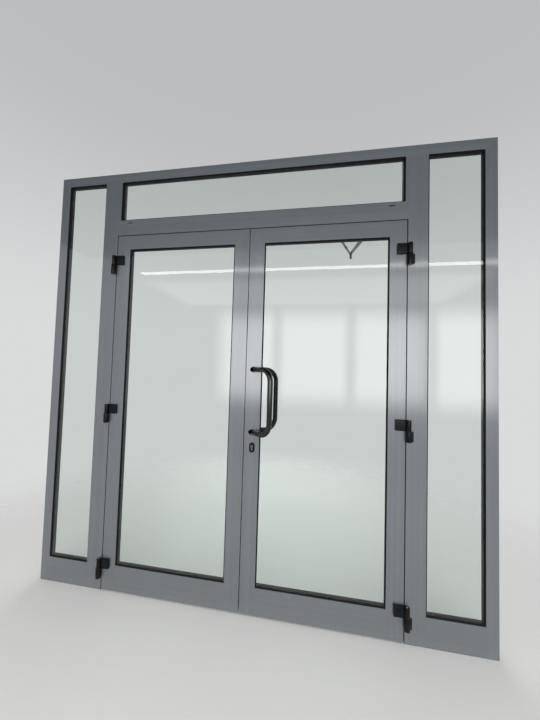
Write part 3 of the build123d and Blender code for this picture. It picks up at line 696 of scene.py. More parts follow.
class Finishes:
    """The door's finishes."""

    grey: Colour = (0.110, 0.124, 0.138)
    upright = PowderCoat("grey_powder_coat_upright", "profile", Run.UPRIGHT, grey)
    level = PowderCoat("grey_powder_coat_level", "profile", Run.LEVEL, grey)
    glass = ClearGlass(
        "clear_safety_glass",
        "clear_glass",
        tint=(0.81, 0.875, 0.845),
        shade=(0.80, 0.86, 0.83),
    )
    rubber = Rubber(
        "black_gasket_rubber",
        "gasket",
        colour=(0.006, 0.006, 0.007),
        bloom=(0.012, 0.012, 0.013),
    )
    pile = Pile(
        "black_brush_pile",
        "brush",
        colour=(0.012, 0.012, 0.012),
        tips=(0.05, 0.05, 0.05),
    )
    # Painted shade: the beads are near-black so that the glazing reveals look shaded; real beads would
    # be the bars' grey.
    bead = Paint(
        "satin_black_bead",
        "bead",
        colour=(0.006, 0.006, 0.007),
        worn_colour=(0.010, 0.010, 0.011),
        gloss=0.5,
        texture=1500.0,
        depth=0.012 * MM,
        specular=0.05,
        dust=0.04,
    )
    packer = Paint(
        "black_packer_plastic",
        "packer",
        colour=(0.020, 0.020, 0.020),
        worn_colour=(0.035, 0.035, 0.035),
        gloss=0.5,
        texture=900.0,
        depth=0.02 * MM,
        specular=0.3,
    )
    hinge = Paint(
        "satin_black_hinge",
        "hinge",
        colour=(0.004, 0.004, 0.005),
        worn_colour=(0.009, 0.009, 0.010),
        gloss=0.36,
        texture=2200.0,
        depth=0.015 * MM,
        specular=0.14,
        dust=0.06,
    )
    handle = Paint(
        "gloss_black_handle",
        "handle",
        colour=(0.002, 0.002, 0.002),
        worn_colour=(0.004, 0.004, 0.004),
        gloss=0.08,
        texture=700.0,
        depth=0.002 * MM,
        specular=0.5,
    )
    rose = Paint(
        "satin_black_rose",
        "rose",
        colour=(0.004, 0.004, 0.004),
        worn_colour=(0.008, 0.008, 0.008),
        gloss=0.5,
        texture=1800.0,
        depth=0.01 * MM,
        specular=0.06,
    )
    closer = Paint(
        "satin_dark_closer",
        "closer",
        colour=(0.030, 0.033, 0.034),
        worn_colour=(0.042, 0.046, 0.047),
        gloss=0.34,
        texture=1500.0,
        depth=0.015 * MM,
        specular=0.4,
        coat=0.1,
    )
    arm = Paint(
        "satin_dark_arm",
        "closer_arm",
        colour=(0.012, 0.013, 0.013),
        worn_colour=(0.020, 0.021, 0.021),
        gloss=0.36,
        texture=1500.0,
        depth=0.012 * MM,
        specular=0.3,
    )
    cleat = Metal(
        "mill_aluminium",
        "cleat",
        colour=(0.80, 0.80, 0.81),
        tarnish=(0.62, 0.62, 0.62),
        gloss=0.34,
    )
    pin = Metal(
        "ground_steel_pin",
        "hinge_pin",
        colour=(0.60, 0.59, 0.58),
        tarnish=(0.40, 0.39, 0.38),
        gloss=0.22,
        stretch=(0.02, 0.02, 1.0),
    )
    bolt = Metal(
        "plated_steel_bolt",
        "bolt",
        colour=(0.42, 0.42, 0.41),
        tarnish=(0.28, 0.275, 0.265),
        gloss=0.34,
    )
    steel = Metal(
        "brushed_lock_steel",
        "lock_steel",
        colour=(0.36, 0.355, 0.345),
        tarnish=(0.24, 0.235, 0.225),
        gloss=0.38,
    )
    nickel = Metal(
        "nickel_cylinder",
        "cylinder",
        colour=(0.13, 0.128, 0.122),
        tarnish=(0.08, 0.078, 0.075),
        gloss=0.30,
        stretch=(0.3, 1.0, 0.3),
    )


# Meshes


def oval(centre: Vector, u: Vector, v: Vector, steps: int, power: float = 1.0) -> list[Vector]:
    """Points round an ellipse, or round a softened rectangle where the power is small.

    Args:
        centre: Its middle.
        u: Vector from the middle to one end.
        v: Vector from the middle to the top.
        steps: Number of points.
        power: Power of the sine and cosine.

    Returns:
        The points.
    """
    ring = []
    for i in range(steps):
        c, s = math.cos(math.tau * i / steps), math.sin(math.tau * i / steps)
        wide, high = math.copysign(abs(c) ** power, c), math.copysign(abs(s) ** power, s)
        ring.append(centre + u * wide + v * high)
    return ring


def as_object(name: str, mesh: bmesh.types.BMesh, material: bpy.types.Material) -> bpy.types.Object:
    """Puts a finished mesh into the scene.

    Args:
        name: Name of the object.
        mesh: Its mesh, which is freed.
        material: Its material.

    Returns:
        The object.
    """
    data = bpy.data.meshes.new(name)
    mesh.to_mesh(data)
    mesh.free()
    data.materials.append(material)
    made = bpy.data.objects.new(name, data)
    bpy.context.scene.collection.objects.link(made)
    return made


class Sheet:
    """Collects a mesh's vertices and faces, then makes it a piece of the door.

    A screw head's outline is given in shares of its rise and radius, its recess in shares of the radius.
    """

    screw_steps: int = 24
    screw_head: Profile = ((0.0, 1.0), (0.45, 1.0), (0.85, 0.93), (1.0, 0.80))
    recess_depth: float = 0.35
    recess_taper: float = 0.92

    def __init__(self) -> None:
        """Starts an empty mesh."""
        self.mesh = bmesh.new()

    def loft(self, rings: Sequence[Sequence[Vector]], caps: bool = True) -> None:
        """Joins closed rings of points with faces.

        Args:
            rings: Rings with equally many points.
            caps: Whether the first and last ring are filled.
        """
        loops = [[self.mesh.verts.new(p) for p in ring] for ring in rings]
        count = len(loops[0])
        for one, two in zip(loops, loops[1:]):
            for i in range(count):
                j = (i + 1) % count
                self.mesh.faces.new((one[i], one[j], two[j], two[i]))
        if caps:
            self.mesh.faces.new(list(reversed(loops[0])))
            self.mesh.faces.new(loops[-1])

    def box(
        self,
        x: tuple[float, float],
        y: tuple[float, float],
        z: tuple[float, float],
        radius: float,
        steps: int,
    ) -> None:
        """Adds a box with rounded edges.

        Args:
            x: Its range in X.
            y: Its range in Y.
            z: Its range in Z.
            radius: Radius of its edges.
            steps: Segments of each rounding.
        """
        low, high = (Vector(ends) for ends in zip(x, y, z))
        matrix = Matrix.Translation((high + low) / 2) @ Matrix.Diagonal((*(high - low), 1.0))
        made = bmesh.ops.create_cube(self.mesh, size=1.0, matrix=matrix)
        edges = list(dict.fromkeys(edge for vert in made["verts"] for edge in vert.link_edges))
        bmesh.ops.bevel(
            self.mesh, geom=edges, offset=radius, segments=steps, affect="EDGES", profile=0.5
        )

    def turned(self, profile: Profile, base: Point, axis: Point, steps: int = 48) -> None:
        """Adds a turned piece.

        Args:
            profile: Points (distance along the axis, radius) from one end to the other.
            base: Where the profile starts.
            axis: Direction of the axis.
            steps: Points round the axis.
        """
        along = Vector(axis).normalized()
        across = along.orthogonal().normalized()
        other = along.cross(across)
        start = Vector(base)
        self.loft([oval(start + along * s, across * r, other * r, steps) for s, r in profile])

    def framed(self, x: tuple[float, float], z: tuple[float, float], profile: Profile) -> None:
        """Sweeps a closed profile round a rectangle with mitred corners.

        Args:
            x: Left and right of the rectangle.
            z: Bottom and top of the rectangle.
            profile: Points (distance inwards, y) of the closed section.
        """
        bends = [(x[0], z[0], 1, 1), (x[1], z[0], -1, 1), (x[1], z[1], -1, -1), (x[0], z[1], 1, -1)]
        rings = [[Vector((cx + sx * s, y, cz + sz * s)) for s, y in profile] for cx, cz, sx, sz in bends]
        self.loft([*rings, rings[0]], caps=False)
        bmesh.ops.remove_doubles(self.mesh, verts=self.mesh.verts[:], dist=1e-7)

    def screw(
        self,
        place: Point,
        axis: Point,
        radius: float,
        drive: Drive,
        rise: float,
        turn: float = 0.0,
    ) -> None:
        """Adds a low screw head with its recess.

        Args:
            place: Middle of the head's seat.
            axis: Direction in which the head stands out.
            radius: Radius of the head.
            drive: Recess in the head.
            rise: Height of the head over its seat.
            turn: Turn of the recess in radians.
        """
        along = Vector(axis).normalized()
        across = along.orthogonal().normalized()
        other = along.cross(across)
        angles = [math.tau * i / self.screw_steps for i in range(self.screw_steps)]
        recess = [radius * drive.value * drive.reach(angle) for angle in angles]
        outlines = [(rise * up, [radius * wide] * len(angles)) for up, wide in self.screw_head]
        outlines.append((rise, recess))
        floor = rise - radius * self.recess_depth
        outlines.append((floor, [size * self.recess_taper for size in recess]))
        rings = []
        for height, sizes in outlines:
            middle = Vector(place) + along * height
            ring = []
            for angle, size in zip(angles, sizes):
                way = across * math.cos(angle + turn) + other * math.sin(angle + turn)
                ring.append(middle + way * size)
            rings.append(ring)
        self.loft(rings)

    def piece(
        self,
        name: str,
        finish: Finish,
        body: str,
        replaces: Iterable[str] = (),
    ) -> bpy.types.Object:
        """Turns the collected mesh into a piece of the door.

        Args:
            name: Name of the piece.
            finish: Its finish.
            body: Body that it rides on.
            replaces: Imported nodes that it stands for.

        Returns:
            The piece.
        """
        bmesh.ops.recalc_face_normals(self.mesh, faces=self.mesh.faces[:])
        for face in self.mesh.faces:
            face.smooth = True
        for edge in self.mesh.edges:
            sharp = len(edge.link_faces) == 2 and edge.calc_face_angle(0.0) > SHARP
            edge.smooth = not sharp
        made = as_object(name, self.mesh, finish.material())
        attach(made, body)
        nodes = list(replaces)
        if nodes:
            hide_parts(*nodes)
        LOG.info("piece %s on %s, %d faces", name, body, len(made.data.polygons))
        return made


@dataclass(frozen=True)
class Span:
    """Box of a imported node, read from the frame."""

    low: Vector
    high: Vector

    @classmethod
    def of(cls, node: str) -> "Span":
        """Reads the box of a node."""
        return cls(*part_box(node))

    @property
    def middle(self) -> Vector:
        """Middle of the box."""
        return (self.low + self.high) / 2


@dataclass
class Dresser:
    """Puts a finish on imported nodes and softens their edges."""

    frame: dict
    weld: float = 0.01 * MM
    flat_angle: float = math.radians(0.5)
    edge_segments: int = 2
    face_weight: int = 80

    def dress(self, node: str, finish: Finish, edge: float = 0.0) -> None:
        """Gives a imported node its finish.

        Args:
            node: Name of the node.
            finish: Its finish.
            edge: Radius of its rounded edges; zero leaves them sharp.
        """
        made = self.frame["nodes"][node]
        made.data.materials.clear()
        made.data.materials.append(finish.material())
        made.data.polygons.foreach_set("use_smooth", [True] * len(made.data.polygons))
        weld = made.modifiers.new("weld", "WELD")
        weld.merge_threshold = self.weld
        flat = made.modifiers.new("flat", "DECIMATE")
        flat.decimate_type = "DISSOLVE"
        flat.angle_limit = self.flat_angle
        if edge:
            bevel = made.modifiers.new("edges", "BEVEL")
            bevel.width = edge
            bevel.segments = self.edge_segments
            bevel.limit_method = "ANGLE"
            bevel.angle_limit = SHARP
            bevel.harden_normals = False
        even = made.modifiers.new("even", "WEIGHTED_NORMAL")
        even.keep_sharp = True
        even.weight = self.face_weight
        LOG.info("dressed %s in %s", node, finish.name)


# Sub-assemblies


@dataclass
class Profiles:
    """Extruded bars of the frame and the leaves, and their hidden inner parts."""

    dresser: Dresser
    edge: float = 0.6 * MM
    bead_edge: float = 0.3 * MM

    def build(self) -> None:
        """Dresses every bar."""
        dress = self.dresser.dress
        for side in Side:
            for name in ("jamb", "mullion", "hinge_stile", "lock_stile"):
                dress(f"{side.label}_{name}", Finishes.upright, self.edge)
            for name in ("sill_rail", "top_rail", "bottom_rail"):
                dress(f"{side.label}_{name}", Finishes.level, self.edge)
            dress(f"{side.label}_leaf_cleats", Finishes.cleat)
            # The leaf beads get the near-black finish, which is painted shade for the reveals.
            dress(f"{side.label}_leaf_beads", Finishes.bead, self.bead_edge)
            dress(f"{side.label}_leaf_setting_blocks", Finishes.packer)
        dress("top_light_adapters", Finishes.upright, self.edge)
        dress("head_bar", Finishes.level, self.edge)
        dress("transom_bar", Finishes.level, self.edge)
        # The frame beads get the near-black finish, which is painted shade for the reveals.
        dress("frame_beads", Finishes.bead, self.bead_edge)
        dress("frame_setting_blocks", Finishes.packer)


@dataclass(frozen=True)
class Pane:
    """A pane and how deep its edges sit in the rebate."""

    node: str
    body: str
    embed_x: float = 15 * MM
    embed_z: float = 15 * MM

    def sight(self) -> tuple[tuple[float, float], tuple[float, float]]:
        """Measures the visible opening in front of the pane.

        Returns:
            Its ranges in X and Z.
        """
        span = Span.of(self.node)
        return (
            (span.low.x + self.embed_x, span.high.x - self.embed_x),
            (span.low.z + self.embed_z, span.high.z - self.embed_z),
        )


@dataclass
class Glazing:
    """Panes with their outer and inner gaskets, whose sections are in millimetres."""

    dresser: Dresser
    panes: tuple[Pane, ...] = (
        Pane("left_side_glass", "frame"),
        Pane("right_side_glass", "frame"),
        Pane("top_glass", "frame", embed_x=9 * MM),
        Pane("left_leaf_glass", "left_leaf"),
        Pane("right_leaf_glass", "right_leaf"),
    )
    outer: Profile = (
        (-6.0, 8.0),
        (-6.0, 2.7),
        (0.4, 2.7),
        (0.9, 2.1),
        (2.0, 1.9),
        (2.9, 2.3),
        (3.2, 3.1),
        (3.7, 3.1),
        (5.2, 4.6),
        (6.5, 6.3),
        (7.0, 7.4),
        (6.7, 8.0),
    )
    inner: Profile = (
        (-6.0, 16.0),
        (2.7, 16.0),
        (3.0, 16.6),
        (2.7, 18.0),
        (1.8, 19.0),
        (0.3, 19.4),
        (0.0, 18.9),
        (-6.0, 18.9),
    )

    def build(self) -> None:
        """Dresses the panes and builds a gasket pair round each."""
        for pane in self.panes:
            self.dresser.dress(pane.node, Finishes.glass)
        for body in ("frame", "left_leaf", "right_leaf"):
            mesh = Sheet()
            for pane in (p for p in self.panes if p.body == body):
                for profile in (self.outer, self.inner):
                    mesh.framed(*pane.sight(), [(s * MM, y * MM) for s, y in profile])
            mesh.piece(f"{body}_gasket_rings", Finishes.rubber, body, [f"{body}_gaskets"])


@dataclass
class Hinges:
    """Surface hinges: covers, knuckles, wings, washers and their screws."""

    dresser: Dresser
    out: float = 890 * MM
    proud: float = 14 * MM
    knuckle: float = 12.5 * MM
    base_knuckle: float = 15 * MM
    knuckle_ease: float = 1.2 * MM
    knuckle_bend: float = 0.36 * MM
    knuckle_wall: float = 4 * MM
    height: float = 115 * MM
    split: float = 56 * MM
    gap: float = 1 * MM
    leaf_edge: float = 877.5 * MM
    cover_width: float = 52 * MM
    cover_depth: float = 14 * MM
    cover_end: float = 3 * MM
    cover_round: float = 2.6 * MM
    plate_depth: float = 2.4 * MM
    plate_inset: float = 0.8 * MM
    plate_round: float = 0.4 * MM
    link_depth: tuple[float, float] = (-8.5 * MM, -3 * MM)
    link_laps: tuple[float, float] = (5 * MM, 3 * MM)
    link_inset: float = 1.6 * MM
    link_round: float = 1 * MM
    wing_start: float = 7.5 * MM
    wing_reach: float = 26 * MM
    wing_depth: float = 9 * MM
    wing_insets: tuple[float, float] = (1.5 * MM, 1 * MM)
    wing_round: float = 2.4 * MM
    washer: Profile = (
        (0.0, 5.2 * MM),
        (0.0, 10.8 * MM),
        (0.8 * MM, 10.8 * MM),
        (0.8 * MM, 5.2 * MM),
    )
    washer_lift: float = 0.1 * MM
    cap: float = 4.6 * MM
    cap_rise: float = 0.9 * MM
    cap_seat: float = 0.2 * MM

    def build(self) -> None:
        """Builds the hinges of both sides, three a side."""
        low = Span.of("right_frame_hinge_wings").low.z
        top = Span.of("right_leaf_hinge_wings").high.z - self.height
        levels = (low, (low + top) / 2, top)
        self.dresser.dress("hinge_pins", Finishes.pin)
        for side in Side:
            self.leaf_parts(side, levels)
            self.frame_parts(side, levels)

    def barrel(self, mesh: Sheet, x: float, low: float, high: float, radius: float) -> None:
        """Adds a knuckle with turned ends.

        Args:
            mesh: Mesh to add to.
            x: Place of the hinge's axis.
            low: Lower end.
            high: Upper end.
            radius: Radius of the knuckle.
        """
        ease, bend = self.knuckle_ease, self.knuckle_bend
        end = ((0.0, self.knuckle_wall), (0.0, ease), (bend, bend), (ease, 0.0))
        lower = [(s, radius - inset) for s, inset in end]
        upper = [(high - low - s, r) for s, r in reversed(lower)]
        mesh.turned([*lower, *upper], (x, -self.proud, low), (0, 0, 1), steps=64)

    def leaf_parts(self, side: Side, levels: Sequence[float]) -> None:
        """Builds the covers and upper knuckles that swing with a leaf.

        Args:
            side: Side of the leaf.
            levels: Lower ends of its hinges.
        """
        mesh = Sheet()
        caps = Sheet()
        axis = side.value * self.out
        inner = self.leaf_edge - self.cover_width
        leaf_lap, knuckle_lap = self.link_laps
        for level in levels:
            low, high = level + self.split + self.gap, level + self.height
            mesh.box(
                side.across(inner, self.leaf_edge - self.cover_end),
                (-self.cover_depth, -self.cover_round),
                (low, high),
                radius=self.cover_round,
                steps=5,
            )
            mesh.box(
                side.across(inner + self.plate_inset, self.leaf_edge),
                (-self.plate_depth, 0.0),
                (low + self.plate_inset, high - self.plate_inset),
                radius=self.plate_round,
                steps=2,
            )
            mesh.box(
                side.across(self.leaf_edge - leaf_lap, self.out - knuckle_lap),
                self.link_depth,
                (low + self.link_inset, high - self.link_inset),
                radius=self.link_round,
                steps=3,
            )
            self.barrel(mesh, axis, low, high, self.knuckle)
            seat = (axis, -self.proud, high - self.cap_seat)
            caps.screw(seat, (0, 0, 1), self.cap, Drive.HEX, self.cap_rise)
        body = f"{side.label}_leaf"
        mesh.piece(f"{side.label}_hinge_covers", Finishes.hinge, body, [f"{body}_hinge_wings"])
        caps.piece(f"{side.label}_hinge_caps", Finishes.pin, body)

    def frame_parts(self, side: Side, levels: Sequence[float]) -> None:
        """Builds the lower knuckles, wings and washers that stay on the frame.

        Args:
            side: Side of the frame.
            levels: Lower ends of its hinges.
        """
        mesh = Sheet()
        washers = Sheet()
        caps = Sheet()
        axis = side.value * self.out
        under, over = self.wing_insets
        for low in levels:
            high = low + self.split
            self.barrel(mesh, axis, low, high, self.base_knuckle)
            mesh.box(
                side.across(self.leaf_edge + self.wing_start, self.out + self.wing_reach),
                (-self.wing_depth, 0.0),
                (low + under, high - over),
                radius=self.wing_round,
                steps=5,
            )
            washers.turned(self.washer, (axis, -self.proud, high + self.washer_lift), (0, 0, 1))
            seat = (axis, -self.proud, low + self.cap_seat)
            caps.screw(seat, (0, 0, -1), self.cap, Drive.HEX, self.cap_rise)
        node = f"{side.label}_frame_hinge_wings"
        mesh.piece(f"{side.label}_hinge_bases", Finishes.hinge, "frame", [node])
        washers.piece(f"{side.label}_hinge_washers", Finishes.packer, "frame")
        caps.piece(f"{side.label}_hinge_base_caps", Finishes.pin, "frame")


@dataclass
class PullHandles:
    """Offset pull handles with their foot pads and set screws."""

    dresser: Dresser
    foot_x: float = 50 * MM
    levels: tuple[float, float] = (1025 * MM, 1387 * MM)
    tube: float = 15 * MM
    offset: float = 111 * MM
    reach: float = 91.5 * MM
    pad: Profile = (
        (0.0, 1.7 * MM),
        (0.6 * MM, 1.7 * MM),
        (1.0 * MM, 1.2 * MM),
        (1.0 * MM, -0.4 * MM),
    )
    screw: float = 2.6 * MM
    screw_rise: float = 0.35 * MM
    screw_seat: float = 0.15 * MM
    screw_out: float = 12 * MM

    def build(self) -> None:
        """Dresses the handles and builds what is at their feet."""
        self.dresser.dress("outer_handle", Finishes.handle)
        self.dresser.dress("inner_handle", Finishes.handle)
        self.dresser.dress("handle_bolts", Finishes.bolt)
        pads = Sheet()
        screws = Sheet()
        back = Span.of("right_lock_stile").high.y
        out = self.screw_out * self.reach / self.offset
        for face, way in ((0.0, -1), (back, 1)):
            for level in self.levels:
                self.foot_pad(pads, face, way, level)
                under = level - self.tube + self.screw_seat
                seat = (self.foot_x + self.screw_out, face + way * out, under)
                screws.screw(seat, (0, 0, -1), self.screw, Drive.HEX, self.screw_rise)
        pads.piece("handle_foot_pads", Finishes.rubber, "right_leaf")
        screws.piece("handle_set_screws", Finishes.bolt, "right_leaf")

    def foot_pad(self, pads: Sheet, face: float, way: int, level: float) -> None:
        """Adds the oval pad where a slanting foot meets the stile.

        Args:
            pads: Mesh to add to.
            face: Y of the stile's face.
            way: Sign of Y that points out of the face.
            level: Height of the foot.
        """
        wide = self.tube * math.hypot(self.offset, self.reach) / self.reach
        rings = []
        for rise, grow in self.pad:
            centre = Vector((self.foot_x, face + way * rise, level))
            u, v = Vector((wide + grow, 0, 0)), Vector((0, 0, self.tube + grow))
            rings.append(oval(centre, u, v, steps=64))
        pads.loft(rings)


@dataclass
class LockAndBolts:
    """Lock, flush bolts and strike plates in the meeting edges."""

    dresser: Dresser
    edges: tuple[tuple[str, Finish, float], ...] = (
        ("lock_case", Finishes.steel, 0.2 * MM),
        ("lock_faceplate", Finishes.steel, 0.2 * MM),
        ("deadbolt", Finishes.steel, 0.2 * MM),
        ("strike_plate", Finishes.steel, 0.2 * MM),
        ("transom_strike_plate", Finishes.steel, 0.2 * MM),
        ("flush_bolt_plates", Finishes.steel, 0.2 * MM),
        ("upper_flush_bolt", Finishes.bolt, 0.3 * MM),
        ("lower_flush_bolt", Finishes.bolt, 0.3 * MM),
        ("lock_roses", Finishes.rose, 1.2 * MM),
        ("cylinder_housing", Finishes.nickel, 0.35 * MM),
        ("cylinder_plug", Finishes.nickel, 0.2 * MM),
    )
    plug_drop: float = 8.5 * MM
    rim: Profile = (
        (-0.2 * MM, 6.2 * MM),
        (0.35 * MM, 6.2 * MM),
        (0.5 * MM, 6.0 * MM),
        (0.5 * MM, 5.3 * MM),
        (0.05 * MM, 5.0 * MM),
        (-0.2 * MM, 5.0 * MM),
        (-0.2 * MM, 6.2 * MM),
    )
    head: float = 3.4 * MM
    small_head: float = 2.8 * MM
    rise: float = 0.35 * MM
    seat: float = 0.1 * MM
    inset: float = 11 * MM
    small_inset: float = 6 * MM
    middle_lift: float = 5 * MM
    plate_height: float = 120 * MM

    def build(self) -> None:
        """Dresses the lock parts and sets the plates' screws."""
        for node, finish, edge in self.edges:
            self.dresser.dress(node, finish, edge)
        self.cylinder_rims()
        self.faceplate_screws()
        self.left_edge_screws()
        self.transom_screws()

    def cylinder_rims(self) -> None:
        """Builds the turned rim round the plug on both faces of the cylinder."""
        plug = Span.of("cylinder_plug")
        level = Span.of("cylinder_housing").high.z - self.plug_drop
        rims = Sheet()
        for face, way in ((plug.low.y, -1), (plug.high.y, 1)):
            rims.turned(self.rim, (plug.middle.x, face, level), (0, way, 0))
        rims.piece("cylinder_rims", Finishes.nickel, "cylinder_plug")

    def faceplate_screws(self) -> None:
        """Sets three countersunk screws into the lock's faceplate."""
        plate = Span.of("lock_faceplate")
        x, y = plate.low.x + self.seat, plate.middle.y
        centre = plate.middle.z + self.middle_lift
        screws = Sheet()
        for i, z in enumerate((plate.low.z + self.inset, plate.high.z - self.inset, centre)):
            screws.screw((x, y, z), (-1, 0, 0), self.head, Drive.CROSS, self.rise, turn=0.5 + i)
        screws.piece("faceplate_screws", Finishes.bolt, "right_leaf")

    def left_edge_screws(self) -> None:
        """Sets two countersunk screws into each plate of the left leaf's meeting edge."""
        strike = Span.of("strike_plate")
        flush = Span.of("flush_bolt_plates")
        x, y = strike.high.x - self.seat, Span.of("lock_faceplate").middle.y
        plates = (flush.low.z, strike.low.z, flush.high.z - self.plate_height)
        spots = [low + up for low in plates for up in (self.inset, self.plate_height - self.inset)]
        screws = Sheet()
        for i, z in enumerate(spots):
            screws.screw((x, y, z), (1, 0, 0), self.head, Drive.CROSS, self.rise, turn=0.3 * i)
        screws.piece("strike_and_bolt_plate_screws", Finishes.bolt, "left_leaf")

    def transom_screws(self) -> None:
        """Sets two screws into the strike plate under the transom."""
        plate = Span.of("transom_strike_plate")
        y, z = plate.middle.y, plate.low.z + self.seat
        screws = Sheet()
        for x in (plate.low.x + self.small_inset, plate.high.x - self.small_inset):
            screws.screw((x, y, z), (0, 0, -1), self.small_head, Drive.CROSS, self.rise)
        screws.piece("transom_strike_screws", Finishes.bolt, "frame")


@dataclass
class Closer:
    """Overhead closer with its arms, shoe and fittings; its three pivots are given in X and Y."""

    dresser: Dresser
    edges: tuple[tuple[str, Finish, float], ...] = (
        ("closer_body", Finishes.closer, 0.8 * MM),
        ("closer_main_arm", Finishes.arm, 0.8 * MM),
        ("closer_forearm", Finishes.arm, 0.6 * MM),
        ("closer_shoe", Finishes.arm, 0.7 * MM),
    )
    spindle: tuple[float, float] = (672 * MM, 72 * MM)
    elbow: tuple[float, float] = (620.12 * MM, 324.73 * MM)
    shoe_pin: tuple[float, float] = (520.137 * MM, 64.261 * MM)
    seat: float = 0.1 * MM
    valve: float = 4.2 * MM
    valve_rise: float = 1.2 * MM
    valve_lifts: tuple[float, float] = (11 * MM, -9 * MM)
    valve_back: float = 2 * MM
    collar: Profile = (
        (0.0, 8.0 * MM),
        (0.0, 14.0 * MM),
        (1.0 * MM, 14.6 * MM),
        (2.4 * MM, 14.6 * MM),
        (3.0 * MM, 13.8 * MM),
        (3.0 * MM, 6.0 * MM),
    )
    cap: float = 12 * MM
    seam_half: float = 0.35 * MM
    seam_start: float = 3.2 * MM
    seam_proud: float = 0.25 * MM
    seam_inset: float = 2 * MM
    seam_round: float = 0.1 * MM
    arm_thickness: float = 7 * MM
    spindle_seat: float = 0.2 * MM
    spindle_screw: float = 7.5 * MM
    spindle_screw_rise: float = 0.6 * MM
    elbow_screw: float = 6 * MM
    elbow_screw_rise: float = 3 * MM
    clamp_place: float = 0.58
    clamp_drop: float = 4.8 * MM
    clamp: Profile = ((-12, -1.2), (-11, 0), (11, 0), (12, -1.2))
    clamp_half: tuple[float, float] = (8.2, 4.2)
    clamp_power: float = 0.35
    grip_out: float = 8.1 * MM
    grip: float = 2.8 * MM
    grip_rise: float = 1.6 * MM
    stub: Profile = (
        (0.0, 3.0 * MM),
        (0.0, 7.2 * MM),
        (14.0 * MM, 7.2 * MM),
        (16.0 * MM, 6.4 * MM),
        (17.0 * MM, 5.0 * MM),
        (17.0 * MM, 2.0 * MM),
    )
    stub_length: float = 17 * MM
    stub_screw: float = 4 * MM
    stub_screw_rise: float = 1 * MM
    shoe_plate: float = 4 * MM
    shoe_insets: tuple[float, float, float] = (8 * MM, 6 * MM, 7 * MM)
    shoe_screw: float = 3.8 * MM
    shoe_screw_rise: float = 1.8 * MM
    pin_cap_lift: float = 12.4 * MM
    pin_cap: float = 5 * MM
    pin_cap_rise: float = 1 * MM

    def build(self) -> None:
        """Dresses the closer and builds its fittings."""
        for node, finish, edge in self.edges:
            self.dresser.dress(node, finish, edge)
        self.body_fittings()
        self.arm_fittings()
        self.forearm_fittings()
        self.shoe_fittings()

    def body_fittings(self) -> None:
        """Builds the valve screws, the spindle collar and the seams of the end caps."""
        body = Span.of("closer_body")
        valves = Sheet()
        for lift in self.valve_lifts:
            seat = (body.low.x + self.seat, body.middle.y + self.valve_back, body.middle.z + lift)
            valves.screw(seat, (-1, 0, 0), self.valve, Drive.HEX, self.valve_rise)
        valves.piece("closer_valves", Finishes.pin, "frame")
        trim = Sheet()
        trim.turned(self.collar, (*self.spindle, body.high.z - self.seat), (0, 0, 1))
        for x in (body.low.x + self.cap, body.high.x - self.cap):
            trim.box(
                (x - self.seam_half, x + self.seam_half),
                (body.low.y + self.seam_start, body.high.y + self.seam_proud),
                (body.low.z + self.seam_inset, body.high.z - self.seam_inset),
                radius=self.seam_round,
                steps=1,
            )
        trim.piece("closer_trim", Finishes.arm, "frame")

    def arm_fittings(self) -> None:
        """Builds the screws at both ends of the main arm."""
        under = Span.of("closer_main_arm").low.z
        low = (*self.spindle, under + self.spindle_seat)
        high = (*self.elbow, under + self.arm_thickness - self.seat)
        screws = Sheet()
        screws.screw(low, (0, 0, -1), self.spindle_screw, Drive.HEX, self.spindle_screw_rise)
        screws.screw(high, (0, 0, 1), self.elbow_screw, Drive.HEX, self.elbow_screw_rise)
        screws.piece("closer_arm_screws", Finishes.bolt, "closer_main_arm")

    def forearm_fittings(self) -> None:
        """Builds the forearm's clamp, the stub under the elbow and their screws."""
        start, end = Vector((*self.shoe_pin, 0.0)), Vector((*self.elbow, 0.0))
        way = (end - start).normalized()
        side = Vector((-way.y, way.x, 0.0))
        centre = start.lerp(end, self.clamp_place)
        centre.z = Span.of("closer_main_arm").low.z - self.clamp_drop
        wide, high = self.clamp_half
        rings = []
        for offset, grow in self.clamp:
            u, v = side * ((wide + grow) * MM), Vector((0, 0, (high + grow) * MM))
            middle = centre + way * (offset * MM)
            rings.append(oval(middle, u, v, steps=32, power=self.clamp_power))
        clamp = Sheet()
        clamp.loft(rings)
        clamp.piece("forearm_clamp", Finishes.arm, "closer_forearm")
        top = Span.of("closer_forearm").low.z + self.seat
        stub = Sheet()
        stub.turned(self.stub, (*self.elbow, top), (0, 0, -1))
        stub.piece("elbow_stub", Finishes.arm, "closer_forearm")
        screws = Sheet()
        seat = centre - side * self.grip_out
        screws.screw(tuple(seat), tuple(-side), self.grip, Drive.HEX, self.grip_rise)
        foot = (*self.elbow, top - self.stub_length)
        screws.screw(foot, (0, 0, -1), self.stub_screw, Drive.HEX, self.stub_screw_rise)
        screws.piece("forearm_screws", Finishes.bolt, "closer_forearm")

    def shoe_fittings(self) -> None:
        """Sets the shoe's screws and the pin's cap."""
        shoe = Span.of("closer_shoe")
        y = shoe.low.y + self.shoe_plate - self.seat
        along, under, over = self.shoe_insets
        size, rise = self.shoe_screw, self.shoe_screw_rise
        screws = Sheet()
        for x in (shoe.low.x + along, shoe.high.x - along):
            for z in (shoe.low.z + under, shoe.high.z - over):
                screws.screw((x, y, z), (0, 1, 0), size, Drive.CROSS, rise, turn=x * 40)
        pin = (*self.shoe_pin, shoe.low.z + self.pin_cap_lift)
        screws.screw(pin, (0, 0, -1), self.pin_cap, Drive.HEX, self.pin_cap_rise)
        screws.piece("closer_shoe_screws", Finishes.bolt, "right_leaf")


